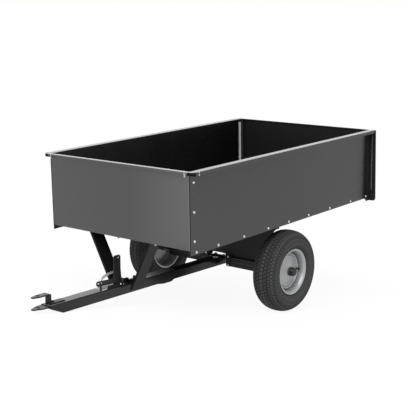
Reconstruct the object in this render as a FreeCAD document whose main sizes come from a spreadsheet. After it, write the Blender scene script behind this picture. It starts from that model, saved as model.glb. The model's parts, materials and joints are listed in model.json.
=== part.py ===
"""Tipping garden trailer: a sheet-steel bed that tips about its axle on a channel drawbar.

The trailer is drawn level, with the origin on the axle's centre line: +Z up, -Y to the
hitch, +X to the trailer's left side.  Every finished piece is then turned nose-down about
the axle and lifted, so that it stands as it parks: on both tyres and the drawbar's nose.
"""
import FreeCAD, Part
import math
import os
import re
import Sketcher
from FreeCAD import Placement, Rotation, Vector

SIZES = {
    # the bed, folded from sheet
    "bed_width": (866, "outside of one side panel to the outside of the other"),
    "bed_length": (1523, "front panel's face to the back of the tailgate guides"),
    "bed_ahead": (744, "front panel's face ahead of the axle"),
    "bed_clearance": (238, "side panels' bottom edge above the axle"),
    "side_height": (373, "side panels' height"),
    "floor_rise": (25, "floor sheet's top above the side panels' bottom edge"),
    "sheet_wall": (1.5, "thickness of the bed's sheet"),
    "sheet_bend": (3, "outside radius of the bed's folds"),
    "side_lip": (32, "side panels' top lip, outwards"),
    "side_lip_drop": (17, "side panels' top lip, downwards"),
    "front_lip": (16, "front panel's top lip, forwards"),
    "front_lip_drop": (10, "front panel's top lip, downwards"),
    "front_return": (55, "front panel's side flanges, rearwards"),
    "front_foot": (32, "front panel's bottom flange under the floor, rearwards"),
    "floor_flange": (23, "floor sheet's side flanges, downwards"),
    "sheet_fit": (0.2, "gap between sheets that lie face to face"),
    # the tailgate and the guides that it slides in
    "guide_leg": (34, "guide post's leg along the side panel"),
    "guide_wall": (2.5, "thickness of the guide post"),
    "guide_foot": (16, "guide post below the side panel's bottom edge"),
    "guide_lap": (24, "guide post's rear plate, inwards over the tailgate"),
    "guide_corner": (9, "guide post's lower outer corner radius"),
    "strip_width": (22, "zinc guide strip, inwards from the side panel"),
    "strip_depth": (26, "zinc guide strip's foot, along the side panel"),
    "strip_wall": (2, "thickness of the zinc guide strip"),
    "gate_depth": (12, "tailgate's folded edges, forwards"),
    "gate_slack": (1.5, "tailgate's play in its guides, front and back"),
    "gate_side_gap": (3, "tailgate's play, each side"),
    "gate_floor_gap": (0.3, "tailgate above the floor sheet that it stands on"),
    # the undercarriage
    "shaft_radius": (12.5, "axle shaft"),
    "bore_fit": (0.4, "radial play of a bore on the shaft"),
    "beam_inner": (59, "axle beam halves start this far from the middle"),
    "beam_top": (16, "axle beam's top above the axle"),
    "beam_height": (48, "axle beam's height"),
    "beam_depth": (34, "axle beam's depth along the trailer"),
    "hub_gap": (35, "axle beam's end plate to the hub"),
    "plate_wall": (3, "thickness of the undercarriage's plates"),
    "web_half": (300, "axle web's half width"),
    "notch_half": (44, "axle web's notch for the drawbar, half width"),
    "notch_top": (28, "axle web's notch for the drawbar, top above the axle"),
    "notch_corner": (8, "axle web's notch, corner radius"),
    "web_flange": (34, "axle web's flange under the floor"),
    "bracket_width": (28, "axle bracket, along the axle"),
    "bracket_reach": (12, "axle bracket's ear above the beam"),
    "bracket_corner": (6, "axle bracket's cut corners"),
    # the drawbar, drawn along its own level axis and then raised at the nose
    "bar_rise": (1.95, "drawbar's slope in degrees, nose up"),
    "bar_width": (62.8, "drawbar channel's width"),
    "bar_top": (14.5, "drawbar's top face above the axle"),
    "bar_depth": (45.5, "drawbar channel's depth"),
    "bar_wall": (3, "thickness of the drawbar channel"),
    "bar_bend": (4.5, "outside radius of the channels' folds"),
    "bar_nose": (1201, "drawbar's front end ahead of the axle"),
    "nose_height": (15, "drawbar's depth at its front end"),
    "nose_bevel": (71, "length of the bevel under the nose"),
    "bar_joint": (380, "front channel's rear end ahead of the axle"),
    "bar_joint_corner": (44, "front channel's rear lower corner radius"),
    "lobe_drop": (7, "front channel's rear end is this much deeper"),
    "lobe_length": (92, "front channel's deeper stretch"),
    "lobe_slant": (46, "front channel's slant down to its deeper stretch"),
    "bar_overlap": (205, "rear channel's length inside the front channel"),
    "bar_fit": (0.3, "gap between the nested channels, each side"),
    "ear_radius": (22, "drawbar's ears round the axle"),
    "ear_gap": (34, "drawbar's top face ends this far ahead of the axle"),
    "bush_radius": (17, "pivot bush in the drawbar's ears"),
    # the hitch
    "hitch_overhang": (77, "hitch plates' tips ahead of the drawbar's nose"),
    "hitch_wall": (5.5, "thickness of the hitch plates"),
    "hitch_tip": (7, "hitch plates' half width at their tips"),
    "strap_width": (33, "upper hitch strap's width"),
    "strap_foot": (96, "upper hitch strap's foot on the drawbar, behind the nose"),
    "strap_back": (12, "upper hitch strap's riser behind the nose"),
    "strap_rise": (49.5, "upper hitch strap above the drawbar"),
    "strap_bend": (9, "upper hitch strap's bend radius"),
    "lower_plate_width": (52, "lower hitch plate's width"),
    "lower_plate_foot": (75, "lower hitch plate inside the drawbar"),
    "lower_plate_neck": (34, "lower hitch plate's full width ends this far ahead of the nose"),
    "pin_radius": (8.5, "hitch pin's holes"),
    "pin_back": (33, "hitch pin's holes behind the tips"),
    # the struts under the bed's front and the saddle that seats them on the drawbar
    "strut_setback": (7, "struts' front edge behind the front panel's face"),
    "strut_width": (70, "struts' width along the trailer"),
    "strut_flange": (13, "struts' folded edges"),
    "strut_top_half": (194, "struts' outer face under the floor"),
    "strut_foot_half": (68, "struts' outer face at the foot"),
    "strut_foot_height": (18, "struts' feet above the axle"),
    "saddle_half": (74.5, "saddle plate's half width"),
    "saddle_wall": (4, "thickness of the saddle plate"),
    "seat_gap": (0.3, "the saddle above the drawbar"),
    "keeper_overhang": (13, "latch keeper's hump ahead of the struts"),
    "keeper_height": (26, "latch keeper above the saddle"),
    "keeper_low": (12, "latch keeper's waist above the saddle"),
    "keeper_hump": (34, "latch keeper's hump, along the drawbar"),
    "keeper_hook": (12, "latch keeper's hook, along the drawbar"),
    "keeper_side": (28, "latch keeper's middle plane from the trailer's"),
    "keeper_corner": (11, "latch keeper's hump radius"),
    # the tipping latch on the drawbar
    "latch_wall": (4, "thickness of the latch's plates"),
    "latch_side": (20, "lever's and pedal arm's middle plane from the trailer's"),
    "lever_setback": (52, "release lever's front edge behind the latch bracket's front end"),
    "lever_width": (44, "release lever's width"),
    "lever_spread": (8, "release lever's foot, wider than its top"),
    "lever_top": (160, "release lever's top above the axle, in the drawbar's own axis"),
    "lever_corner": (11, "release lever's top corner radius"),
    "lever_hole": (13, "release lever's hole below its top and ahead of its rear edge"),
    "lever_waist": (98, "release lever starts to widen here, above the axle"),
    "latch_hole": (4, "holes in the lever and in the pedal arm"),
    "pedal_length": (111, "pedal arm's length ahead of the release lever"),
    "pedal_centre": (49, "pedal arm's centre line above the axle at its tip"),
    "pedal_drop": (6, "pedal arm's centre line lower at the lever"),
    "pedal_half": (11.5, "pedal arm's half height"),
    "pedal_corner": (10, "pedal arm's tip radius"),
    "pedal_hole_back": (10, "pedal arm's first hole behind its tip"),
    "pedal_pin_back": (28, "lock pin and second hole behind the pedal arm's tip"),
    "lock_pin_radius": (4.5, "lock pin"),
    "rod_radius": (4.5, "zinc release rod"),
    "rod_height": (86, "release rod's end at the lever, above the axle"),
    "rod_shoulder": (70, "release rod's bend above the axle"),
    "rod_bend": (12, "release rod's corner between its upright and its slope"),
    "latch_bracket_length": (101, "latch bracket's length along the drawbar"),
    "latch_clear": (7, "latch bracket's rear end ahead of the latch keeper"),
    "latch_bracket_height": (22, "latch bracket's height"),
    "latch_bracket_slant": (11, "latch bracket's sides lean back this much at the front"),
    "pivot_radius": (5, "lever's pivot"),
    "pivot_height": (9, "lever's pivot above the drawbar"),
    "pivot_back": (34, "lever's pivot behind the lever's front edge"),
    "pivot_fit": (0.2, "play round the lever's pivot"),
    # the wheels
    "wheel_half": (410, "wheel's centre plane from the trailer's"),
    "tyre_radius": (203, "tyre's outside"),
    "tyre_half": (66, "tyre's half width"),
    "crown_step": (16, "tyre's tread, narrower than its sides, each side"),
    "bead_radius": (104, "tyre's seat on the rim"),
    "rim_radius": (115, "rim's flange"),
    "rim_half": (48, "rim's half width"),
    "rim_wall": (2.5, "thickness of the rim"),
    "disc_radius": (88, "wheel disc's flat middle"),
    "disc_face": (18.5, "wheel disc's face, outwards from the wheel's centre plane"),
    "disc_drop": (6, "wheel disc's edge, inwards from its face"),
    "bulge_radius": (140, "tyre's flat side, inner edge"),
    "shoulder_radius": (182, "tyre's flat side, outer edge"),
    "hub_radius": (22, "hub tube's outside"),
    "hub_half": (44, "hub tube's half length"),
    "cap_reach": (62, "hub cap's end outside the wheel's centre plane"),
    "shaft_clear": (1, "axle shaft's end inside the hub tube's"),
}

# places worked out from the sizes above
DERIVED = {
    "side_face": "(bed_width / 2)",
    "side_inner": "(side_face - sheet_wall)",
    "bed_front": "(-bed_ahead)",
    "bed_rear": "(bed_length - bed_ahead)",
    "side_top": "(bed_clearance + side_height)",
    "floor_top": "(bed_clearance + floor_rise)",
    "floor_under": "(floor_top - sheet_wall)",
    "floor_half": "(side_inner - 2 * sheet_fit - sheet_wall)",
    "lip_face": "(side_face + side_lip)",
    "post_face": "(lip_face - sheet_wall - 2 * sheet_fit)",
    "post_front": "(bed_rear - guide_wall - guide_leg)",
    "gate_back": "(bed_rear - guide_wall - gate_slack)",
    "gate_front": "(gate_back - gate_depth)",
    "gate_half": "(side_inner - gate_side_gap)",
    "strip_face": "(gate_front - gate_slack)",
    "bore_radius": "(shaft_radius + bore_fit)",
    "beam_outer": "(wheel_half - hub_half - hub_gap - plate_wall)",
    "beam_bottom": "(beam_top - beam_height)",
    "bracket_high": "(beam_top + bracket_reach)",
    "shaft_half": "(wheel_half + hub_half - shaft_clear)",
    "bar_half": "(bar_width / 2)",
    "bar_bottom": "(bar_top - bar_depth)",
    "lobe_bottom": "(bar_bottom - lobe_drop)",
    "lobe_front": "(-bar_joint - lobe_length)",
    "inner_half": "(bar_half - bar_wall - bar_fit)",
    "inner_top": "(bar_top - bar_wall - bar_fit)",
    "hitch_reach": "(bar_nose + hitch_overhang)",
    "strap_top": "(bar_top + strap_rise)",
    "riser": "(-bar_nose + strap_back)",
    "strut_front": "(bed_ahead - strut_setback)",
    "strut_back": "(strut_front - strut_width)",
    "saddle_top": "(bar_top + seat_gap + saddle_wall)",
    "keeper_front": "(-strut_front - keeper_overhang)",
    "keeper_top": "(saddle_top + keeper_height)",
    "latch_bracket_back": "(latch_clear - keeper_front)",
    "latch_bracket_front": "(latch_bracket_back + latch_bracket_length)",
    "lever_front": "(latch_bracket_front - lever_setback)",
    "pedal_reach": "(lever_front + pedal_length)",
    "latch_face": "(latch_side + latch_wall / 2)",
    "latch_back": "(latch_side - latch_wall / 2)",
    "latch_floor": "(bar_top + bar_wall)",
    "lever_back": "(-lever_front + lever_width)",
    "pedal_root": "(pedal_centre - pedal_drop)",
    "pin_ahead": "(pedal_reach - pedal_pin_back)",
    "pin_top": "(pedal_root - pedal_half + pedal_drop / 2)",
    "pivot_place": "(-lever_front + pivot_back)",
    "tyre_crown": "(tyre_half - crown_step)",
    "bead_half": "(rim_half - bore_fit)",
    "bead_flare": "((tyre_half - bead_half) / (bulge_radius - bead_radius))",
    "rim_reach": "(rim_half + bead_flare * (rim_radius - bead_radius))",
    "rim_inside": "(bead_radius - rim_wall)",
    "strut_seat": "(sheet_wall + 2 * sheet_fit)",
}

doc = FreeCAD.newDocument("TippingTrailer")
sheet = doc.addObject("Spreadsheet::Sheet", "Sizes")
for row, (alias, (size, meaning)) in enumerate(SIZES.items(), start=1):
    sheet.set(f"A{row}", alias)
    sheet.set(f"B{row}", str(size))
    sheet.set(f"C{row}", meaning)
    sheet.setAlias(f"B{row}", alias)
doc.recompute()

nodes = []
bar_nodes = []


def bind(text):
    """Write an expression in words as one on the sheet's cells."""
    def swap(match):
        word = match.group(0)
        if word in DERIVED:
            return bind(DERIVED[word])
        return f"Sizes.{word}" if word in SIZES else word
    return re.sub(r"[a-z][a-z_]*", swap, str(text))


def value(text):
    """The number that an expression in words comes to."""
    return float(sheet.evalExpression(bind(text)))


def node(thing, on_bar=False):
    """Register a finished piece; one on the drawbar is turned with it."""
    (bar_nodes if on_bar else nodes).append(thing)
    return thing


def new_body(label):
    body = doc.addObject("PartDesign::Body", label)
    body.Label = label
    return body


def origin_plane(body, role):
    return next(item for item in body.Origin.OriginFeatures if item.Role == role)


def fix_point(sketch, geometry, end, x, y):
    """Hold one point of a sketch at two bound distances from its origin."""
    for kind, text in (("DistanceX", x), ("DistanceY", y)):
        number = sketch.addConstraint(Sketcher.Constraint(kind, -1, 1, geometry, end, value(text)))
        sketch.setExpression(f"Constraints[{number}]", bind(text))


def add_circle(sketch, x, y, radius):
    place = Vector(value(x), value(y), 0)
    circle = sketch.addGeometry(Part.Circle(place, Vector(0, 0, 1), value(radius)))
    fix_point(sketch, circle, 3, x, y)
    number = sketch.addConstraint(Sketcher.Constraint("Radius", circle, value(radius)))
    sketch.setExpression(f"Constraints[{number}]", bind(radius))


def add_outline(sketch, corners, closed=True):
    """An outline of straight edges; a corner with a third entry is rounded to that radius.

    Each corner is a point held at its bound place.  Where it is rounded, both edges pass
    through the point and end on an arc that is tangent to them.  An open outline is a path.
    """
    points = [Vector(value(corner[0]), value(corner[1]), 0) for corner in corners]
    count = len(points)
    trims = []
    for here, corner in enumerate(corners):
        before = (points[here - 1] - points[here]).normalize()
        after = (points[(here + 1) % count] - points[here]).normalize()
        if len(corner) == 2:
            trims.append(None)
            continue
        radius = value(corner[2])
        half = before.getAngle(after) / 2
        reach = radius / math.tan(half)
        centre = points[here] + (before + after).normalize() * (radius / math.sin(half))
        trims.append((points[here] + before * reach, points[here] + after * reach, centre, radius))
    lines = []
    for here in range(count if closed else count - 1):
        there = (here + 1) % count
        start = points[here] if trims[here] is None else trims[here][1]
        stop = points[there] if trims[there] is None else trims[there][0]
        lines.append(sketch.addGeometry(Part.LineSegment(start, stop)))
    if not closed:
        fix_point(sketch, lines[0], 1, *corners[0])
        fix_point(sketch, lines[-1], 2, *corners[-1])
    for here in range(0 if closed else 1, len(lines)):
        corner = corners[here]
        before, after = lines[here - 1], lines[here]
        if trims[here] is None:
            sketch.addConstraint(Sketcher.Constraint("Coincident", before, 2, after, 1))
            fix_point(sketch, after, 1, corner[0], corner[1])
            continue
        start, stop, centre, radius = trims[here]
        leftward = (start - centre).cross(stop - centre).z > 0
        first, last = (1, 2) if leftward else (2, 1)
        angles = [math.atan2(end.y - centre.y, end.x - centre.x)
                  for end in ((start, stop) if leftward else (stop, start))]
        circle = Part.Circle(centre, Vector(0, 0, 1), radius)
        arc = sketch.addGeometry(Part.ArcOfCircle(circle, *angles))
        sketch.addConstraint(Sketcher.Constraint("Tangent", before, 2, arc, first))
        sketch.addConstraint(Sketcher.Constraint("Tangent", after, 1, arc, last))
        number = sketch.addConstraint(Sketcher.Constraint("Radius", arc, radius))
        sketch.setExpression(f"Constraints[{number}]", bind(corner[2]))
        mark = sketch.addGeometry(Part.Point(points[here]), True)
        fix_point(sketch, mark, 1, corner[0], corner[1])
        sketch.addConstraint(Sketcher.Constraint("PointOnObject", mark, 1, before))
        sketch.addConstraint(Sketcher.Constraint("PointOnObject", mark, 1, after))


def new_sketch(body, plane, level, shapes):
    """A sketch on one of the body's origin planes, moved to a level along its normal."""
    count = len([item for item in body.Group if item.TypeId == "Sketcher::SketchObject"])
    sketch = body.newObject("Sketcher::SketchObject", f"{body.Name}_sketch_{count + 1}")
    sketch.AttachmentSupport = [(origin_plane(body, plane), "")]
    sketch.MapMode = "FlatFace"
    sketch.setExpression("AttachmentOffset.Base.z", bind(level))
    for shape in shapes:
        if shape[0] == "circle":
            add_circle(sketch, *shape[1:])
        else:
            add_outline(sketch, shape)
    return sketch


def pad(body, plane, low, high, *shapes):
    """Add material between two levels along the plane's axis."""
    level = f"-({high})" if plane == "XZ_Plane" else low
    sketch = new_sketch(body, plane, level, shapes)
    feature = body.newObject("PartDesign::Pad", f"{sketch.Name}_pad")
    feature.Profile = sketch
    feature.setExpression("Length", bind(f"({high}) - ({low})"))
    return feature


def pocket(body, plane, low, high, *shapes):
    """Take material away between two levels along the plane's axis."""
    level = f"-({low})" if plane == "XZ_Plane" else high
    sketch = new_sketch(body, plane, level, shapes)
    feature = body.newObject("PartDesign::Pocket", f"{sketch.Name}_pocket")
    feature.Profile = sketch
    feature.setExpression("Length", bind(f"({high}) - ({low})"))
    return feature


def turn(body, *shapes):
    """Revolve an outline drawn in X and Y about the axle's line."""
    sketch = new_sketch(body, "XY_Plane", "0", shapes)
    feature = body.newObject("PartDesign::Revolution", f"{sketch.Name}_turned")
    feature.Profile = sketch
    feature.ReferenceAxis = (sketch, ["H_Axis"])
    feature.Angle = 360
    return feature


def sweep(body, plane, level, radius, path):
    """A round rod along an open path, which starts towards the plane's second direction.

    Where the path turns, the rod's runs meet in a mitre.
    """
    route = new_sketch(body, plane, level, ())
    add_outline(route, path, closed=False)
    section = body.newObject("Sketcher::SketchObject", f"{body.Name}_section")
    section.AttachmentSupport = [(origin_plane(body, "XY_Plane"), "")]
    section.MapMode = "FlatFace"
    section.setExpression("AttachmentOffset.Base.z", bind(path[0][1]))
    add_circle(section, level, path[0][0], radius)
    feature = body.newObject("PartDesign::AdditivePipe", f"{body.Name}_swept")
    feature.Profile = section
    feature.Spine = (route, [""])
    feature.Transition = "Right corner"
    return feature


def channel(body, half, top, start, stop):
    """A folded channel, open below, between two places along the drawbar."""
    pad(body, "XZ_Plane", start, stop, [
        (f"-{half}", "bar_bottom"),
        (f"-{half} + bar_wall", "bar_bottom"),
        (f"-{half} + bar_wall", f"{top} - bar_wall"),
        (f"{half} - bar_wall", f"{top} - bar_wall"),
        (f"{half} - bar_wall", "bar_bottom"),
        (half, "bar_bottom"),
        (half, top, "bar_bend"),
        (f"-{half}", top, "bar_bend"),
    ])


def mirror_right(left):
    """The right-hand twin of a left-hand piece."""
    label = left.Label.replace("_left", "_right")
    twin = doc.addObject("Part::Mirroring", label)
    twin.Label = label
    twin.Source = left
    twin.Normal = Vector(1, 0, 0)
    return twin


# ---- bed: side panels, front panel and floor -------------------------------------------

side = node(new_body("bed_side_left"))
pad(side, "XZ_Plane", "bed_front", "bed_rear - guide_wall", [
    ("side_inner", "bed_clearance"),
    ("side_face", "bed_clearance"),
    ("side_face", "side_top - sheet_wall"),
    ("lip_face - sheet_wall", "side_top - sheet_wall"),
    ("lip_face - sheet_wall", "side_top - side_lip_drop"),
    ("lip_face", "side_top - side_lip_drop"),
    ("lip_face", "side_top", "sheet_bend"),
    ("side_inner", "side_top", "sheet_bend"),
])
node(mirror_right(side))

front = node(new_body("bed_front_panel"))
pad(front, "XY_Plane", "floor_under - sheet_wall", "side_top - sheet_wall", [
    ("-(side_inner - sheet_fit)", "bed_front", "sheet_bend"),
    ("side_inner - sheet_fit", "bed_front", "sheet_bend"),
    ("side_inner - sheet_fit", "bed_front + front_return"),
    ("side_inner - sheet_fit - sheet_wall", "bed_front + front_return"),
    ("side_inner - sheet_fit - sheet_wall", "bed_front + sheet_wall"),
    ("-(side_inner - sheet_fit - sheet_wall)", "bed_front + sheet_wall"),
    ("-(side_inner - sheet_fit - sheet_wall)", "bed_front + front_return"),
    ("-(side_inner - sheet_fit)", "bed_front + front_return"),
])
pad(front, "YZ_Plane", "-floor_half + sheet_wall + sheet_fit", "floor_half - sheet_wall - sheet_fit", [
    ("bed_front", "floor_under - sheet_wall - sheet_fit", "sheet_bend"),
    ("bed_front", "floor_under + 2 * sheet_bend"),
    ("bed_front + sheet_wall", "floor_under + 2 * sheet_bend"),
    ("bed_front + sheet_wall", "floor_under - sheet_fit"),
    ("bed_front + front_foot", "floor_under - sheet_fit"),
    ("bed_front + front_foot", "floor_under - sheet_wall - sheet_fit"),
])
pad(front, "YZ_Plane", "-(side_inner - sheet_fit)", "side_inner - sheet_fit", [
    ("bed_front + sheet_wall", "side_top - 2 * sheet_bend"),
    ("bed_front + sheet_wall", "side_top", "sheet_bend"),
    ("bed_front - front_lip", "side_top", "sheet_bend"),
    ("bed_front - front_lip", "side_top - front_lip_drop"),
    ("bed_front - front_lip + sheet_wall", "side_top - front_lip_drop"),
    ("bed_front - front_lip + sheet_wall", "side_top - sheet_wall"),
    ("bed_front", "side_top - sheet_wall"),
    ("bed_front", "side_top - 2 * sheet_bend"),
])

floor = node(new_body("bed_floor"))
pad(floor, "XZ_Plane", "bed_front + sheet_wall + sheet_fit", "bed_rear - guide_wall - sheet_fit", [
    ("-floor_half", "floor_top - floor_flange"),
    ("-floor_half + sheet_wall", "floor_top - floor_flange"),
    ("-floor_half + sheet_wall", "floor_under"),
    ("floor_half - sheet_wall", "floor_under"),
    ("floor_half - sheet_wall", "floor_top - floor_flange"),
    ("floor_half", "floor_top - floor_flange"),
    ("floor_half", "floor_top", "sheet_bend"),
    ("-floor_half", "floor_top", "sheet_bend"),
])

# ---- tailgate, its guide posts and their inner strips ------------------------------------

guide = node(new_body("tailgate_guide_left"))
pad(guide, "XZ_Plane", "bed_rear - guide_wall", "bed_rear", [
    ("side_inner - guide_lap", "bed_clearance - guide_foot"),
    ("post_face", "bed_clearance - guide_foot", "guide_corner"),
    ("post_face", "side_top - sheet_wall - sheet_fit"),
    ("side_inner - guide_lap", "side_top - sheet_wall - sheet_fit"),
])
pad(guide, "XY_Plane", "bed_clearance - guide_foot", "side_top - sheet_wall - sheet_fit", [
    ("side_face", "post_front"),
    ("side_face + guide_wall", "post_front"),
    ("side_face + guide_wall", "bed_rear - guide_wall"),
    ("side_face", "bed_rear - guide_wall"),
])
node(mirror_right(guide))

strip = node(new_body("tailgate_stop_left"))
pad(strip, "XY_Plane", "floor_top", "side_top - sheet_wall - sheet_fit", [
    ("side_inner", "strip_face - strip_depth"),
    ("side_inner", "strip_face"),
    ("side_inner - strip_width", "strip_face"),
    ("side_inner - strip_width", "strip_face - strip_wall"),
    ("side_inner - strip_wall", "strip_face - strip_wall"),
    ("side_inner - strip_wall", "strip_face - strip_depth"),
])
node(mirror_right(strip))

gate = node(new_body("tailgate"))
pad(gate, "YZ_Plane", "-gate_half", "gate_half", [
    ("gate_front", "floor_top + gate_floor_gap"),
    ("gate_back", "floor_top + gate_floor_gap", "sheet_bend"),
    ("gate_back", "side_top", "sheet_bend"),
    ("gate_front", "side_top"),
    ("gate_front", "side_top - sheet_wall"),
    ("gate_back - sheet_wall", "side_top - sheet_wall"),
    ("gate_back - sheet_wall", "floor_top + gate_floor_gap + sheet_wall"),
    ("gate_front", "floor_top + gate_floor_gap + sheet_wall"),
])

# ---- undercarriage: beam halves, brackets, web and shaft ----------------------------------

beam = node(new_body("axle_beam_left"))
pad(beam, "YZ_Plane", "beam_inner + plate_wall", "beam_outer", [
    ("-beam_depth / 2", "beam_bottom"),
    ("-beam_depth / 2 + plate_wall", "beam_bottom"),
    ("-beam_depth / 2 + plate_wall", "beam_top - plate_wall"),
    ("beam_depth / 2 - plate_wall", "beam_top - plate_wall"),
    ("beam_depth / 2 - plate_wall", "beam_bottom"),
    ("beam_depth / 2", "beam_bottom"),
    ("beam_depth / 2", "beam_top", "plate_wall"),
    ("-beam_depth / 2", "beam_top", "plate_wall"),
])
node(mirror_right(beam))

for name, low, high in (("inner", "beam_inner", "beam_inner + plate_wall"),
                        ("outer", "beam_outer", "beam_outer + plate_wall")):
    plate = node(new_body(f"axle_plate_{name}_left"))
    pad(plate, "YZ_Plane", low, high, [
        ("-beam_depth / 2", "beam_bottom"),
        ("beam_depth / 2", "beam_bottom"),
        ("beam_depth / 2", "beam_top"),
        ("-beam_depth / 2", "beam_top"),
    ], ("circle", "0", "0", "shaft_radius"))
    node(mirror_right(plate))

bracket = node(new_body("axle_bracket_left"))
pad(bracket, "XZ_Plane", "-beam_depth / 2 - plate_wall", "-beam_depth / 2", [
    ("beam_inner + bracket_corner", "beam_bottom"),
    ("beam_inner + bracket_width - bracket_corner", "beam_bottom"),
    ("beam_inner + bracket_width", "beam_bottom + bracket_corner"),
    ("beam_inner + bracket_width", "bracket_high - bracket_corner"),
    ("beam_inner + bracket_width - bracket_corner", "bracket_high"),
    ("beam_inner + bracket_corner", "bracket_high"),
    ("beam_inner", "bracket_high - bracket_corner"),
    ("beam_inner", "beam_bottom + bracket_corner"),
])
node(mirror_right(bracket))

web = node(new_body("axle_web"))
pad(web, "XZ_Plane", "-plate_wall / 2", "plate_wall / 2", [
    ("-web_half", "beam_top"),
    ("-notch_half", "beam_top"),
    ("-notch_half", "notch_top", "notch_corner"),
    ("notch_half", "notch_top", "notch_corner"),
    ("notch_half", "beam_top"),
    ("web_half", "beam_top"),
    ("web_half", "floor_under"),
    ("-web_half", "floor_under"),
])
pad(web, "YZ_Plane", "-web_half", "web_half", [
    ("-plate_wall / 2", "floor_under - plate_wall"),
    ("web_flange", "floor_under - plate_wall"),
    ("web_flange", "floor_under"),
    ("-plate_wall / 2", "floor_under"),
])

shaft = node(new_body("axle_shaft"))
pad(shaft, "YZ_Plane", "-shaft_half", "shaft_half", ("circle", "0", "0", "shaft_radius"))

# ---- struts under the bed's front, and the saddle that rests on the drawbar ---------------

strut = node(new_body("prop_strut_left"))
STRUT_LINE = [
    ("strut_foot_half", "strut_foot_height"),
    ("strut_top_half", "floor_under - strut_seat"),
]


def strut_band(thickness):
    return STRUT_LINE + [(f"{x} - {thickness}", y) for x, y in reversed(STRUT_LINE)]


pad(strut, "XZ_Plane", "-strut_front", "-strut_back", strut_band("plate_wall"))
for low, high in (("-strut_front", "-strut_front + plate_wall"),
                  ("-strut_back - plate_wall", "-strut_back")):
    pad(strut, "XZ_Plane", low, high, strut_band("strut_flange"))
node(mirror_right(strut))

saddle = node(new_body("latch_saddle"), on_bar=True)
pad(saddle, "XY_Plane", "bar_top + seat_gap", "saddle_top", [
    ("-saddle_half", "-strut_front + 2 * plate_wall"),
    ("saddle_half", "-strut_front + 2 * plate_wall"),
    ("saddle_half", "-strut_back - 2 * plate_wall"),
    ("-saddle_half", "-strut_back - 2 * plate_wall"),
])

keeper = node(new_body("latch_keeper"), on_bar=True)
pad(keeper, "YZ_Plane", "keeper_side - latch_wall / 2", "keeper_side + latch_wall / 2", [
    ("keeper_front", "saddle_top"),
    ("-strut_back - 2 * plate_wall", "saddle_top"),
    ("-strut_back - 2 * plate_wall", "keeper_top"),
    ("-strut_back - 2 * plate_wall - keeper_hook", "keeper_top"),
    ("-strut_back - 2 * plate_wall - keeper_hook", "saddle_top + keeper_low"),
    ("keeper_front + keeper_hump", "saddle_top + keeper_low"),
    ("keeper_front + keeper_hump", "keeper_top", "keeper_corner"),
    ("keeper_front", "keeper_top", "keeper_corner"),
])

# ---- drawbar -----------------------------------------------------------------------------

bar = node(new_body("drawbar_front"), on_bar=True)
channel(bar, "bar_half", "bar_top", "-bar_nose", "-bar_joint")
pocket(bar, "YZ_Plane", "-bar_half - bar_wall", "bar_half + bar_wall", [
    ("-bar_nose - bar_wall", "bar_bottom - bar_wall"),
    ("-bar_nose + nose_bevel", "bar_bottom - bar_wall"),
    ("-bar_nose + nose_bevel", "bar_bottom"),
    ("-bar_nose", "bar_top - nose_height"),
    ("-bar_nose - bar_wall", "bar_top - nose_height"),
])
for low, high in (("bar_half - bar_wall", "bar_half"), ("-bar_half", "-bar_half + bar_wall")):
    pad(bar, "YZ_Plane", low, high, [
        ("lobe_front - lobe_slant", "bar_bottom"),
        ("lobe_front", "lobe_bottom"),
        ("-bar_joint", "lobe_bottom"),
        ("-bar_joint", "bar_bottom + bar_wall"),
        ("lobe_front - lobe_slant", "bar_bottom + bar_wall"),
    ])
pocket(bar, "YZ_Plane", "-bar_half - bar_wall", "bar_half + bar_wall", [
    ("-bar_joint - bar_joint_corner - bar_wall", "lobe_bottom"),
    ("-bar_joint", "lobe_bottom", "bar_joint_corner"),
    ("-bar_joint", "lobe_bottom + bar_joint_corner + bar_wall"),
    ("-bar_joint + bar_wall", "lobe_bottom + bar_joint_corner + bar_wall"),
    ("-bar_joint + bar_wall", "lobe_bottom - bar_wall"),
    ("-bar_joint - bar_joint_corner - bar_wall", "lobe_bottom - bar_wall"),
])

rear = node(new_body("drawbar_rear"), on_bar=True)
channel(rear, "inner_half", "inner_top", "-bar_joint - bar_overlap", "-ear_gap")
for low, high in (("inner_half - bar_wall", "inner_half"), ("-inner_half", "-inner_half + bar_wall")):
    pad(rear, "YZ_Plane", low, high, [
        ("-ear_gap - bar_wall", "bar_bottom"),
        ("-ear_gap", "bar_bottom"),
        ("0", "-ear_radius"),
        ("0", "ear_radius"),
        ("-ear_gap", "inner_top"),
        ("-ear_gap - bar_wall", "inner_top - bar_bend"),
    ])
    pad(rear, "YZ_Plane", low, high, ("circle", "0", "0", "ear_radius"))
pocket(rear, "YZ_Plane", "-bar_half", "bar_half", ("circle", "0", "0", "bush_radius"))

bush = node(new_body("drawbar_bush"), on_bar=True)
pad(bush, "YZ_Plane", "-bar_half", "bar_half",
    ("circle", "0", "0", "bush_radius"), ("circle", "0", "0", "bore_radius"))

# ---- hitch -------------------------------------------------------------------------------

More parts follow.
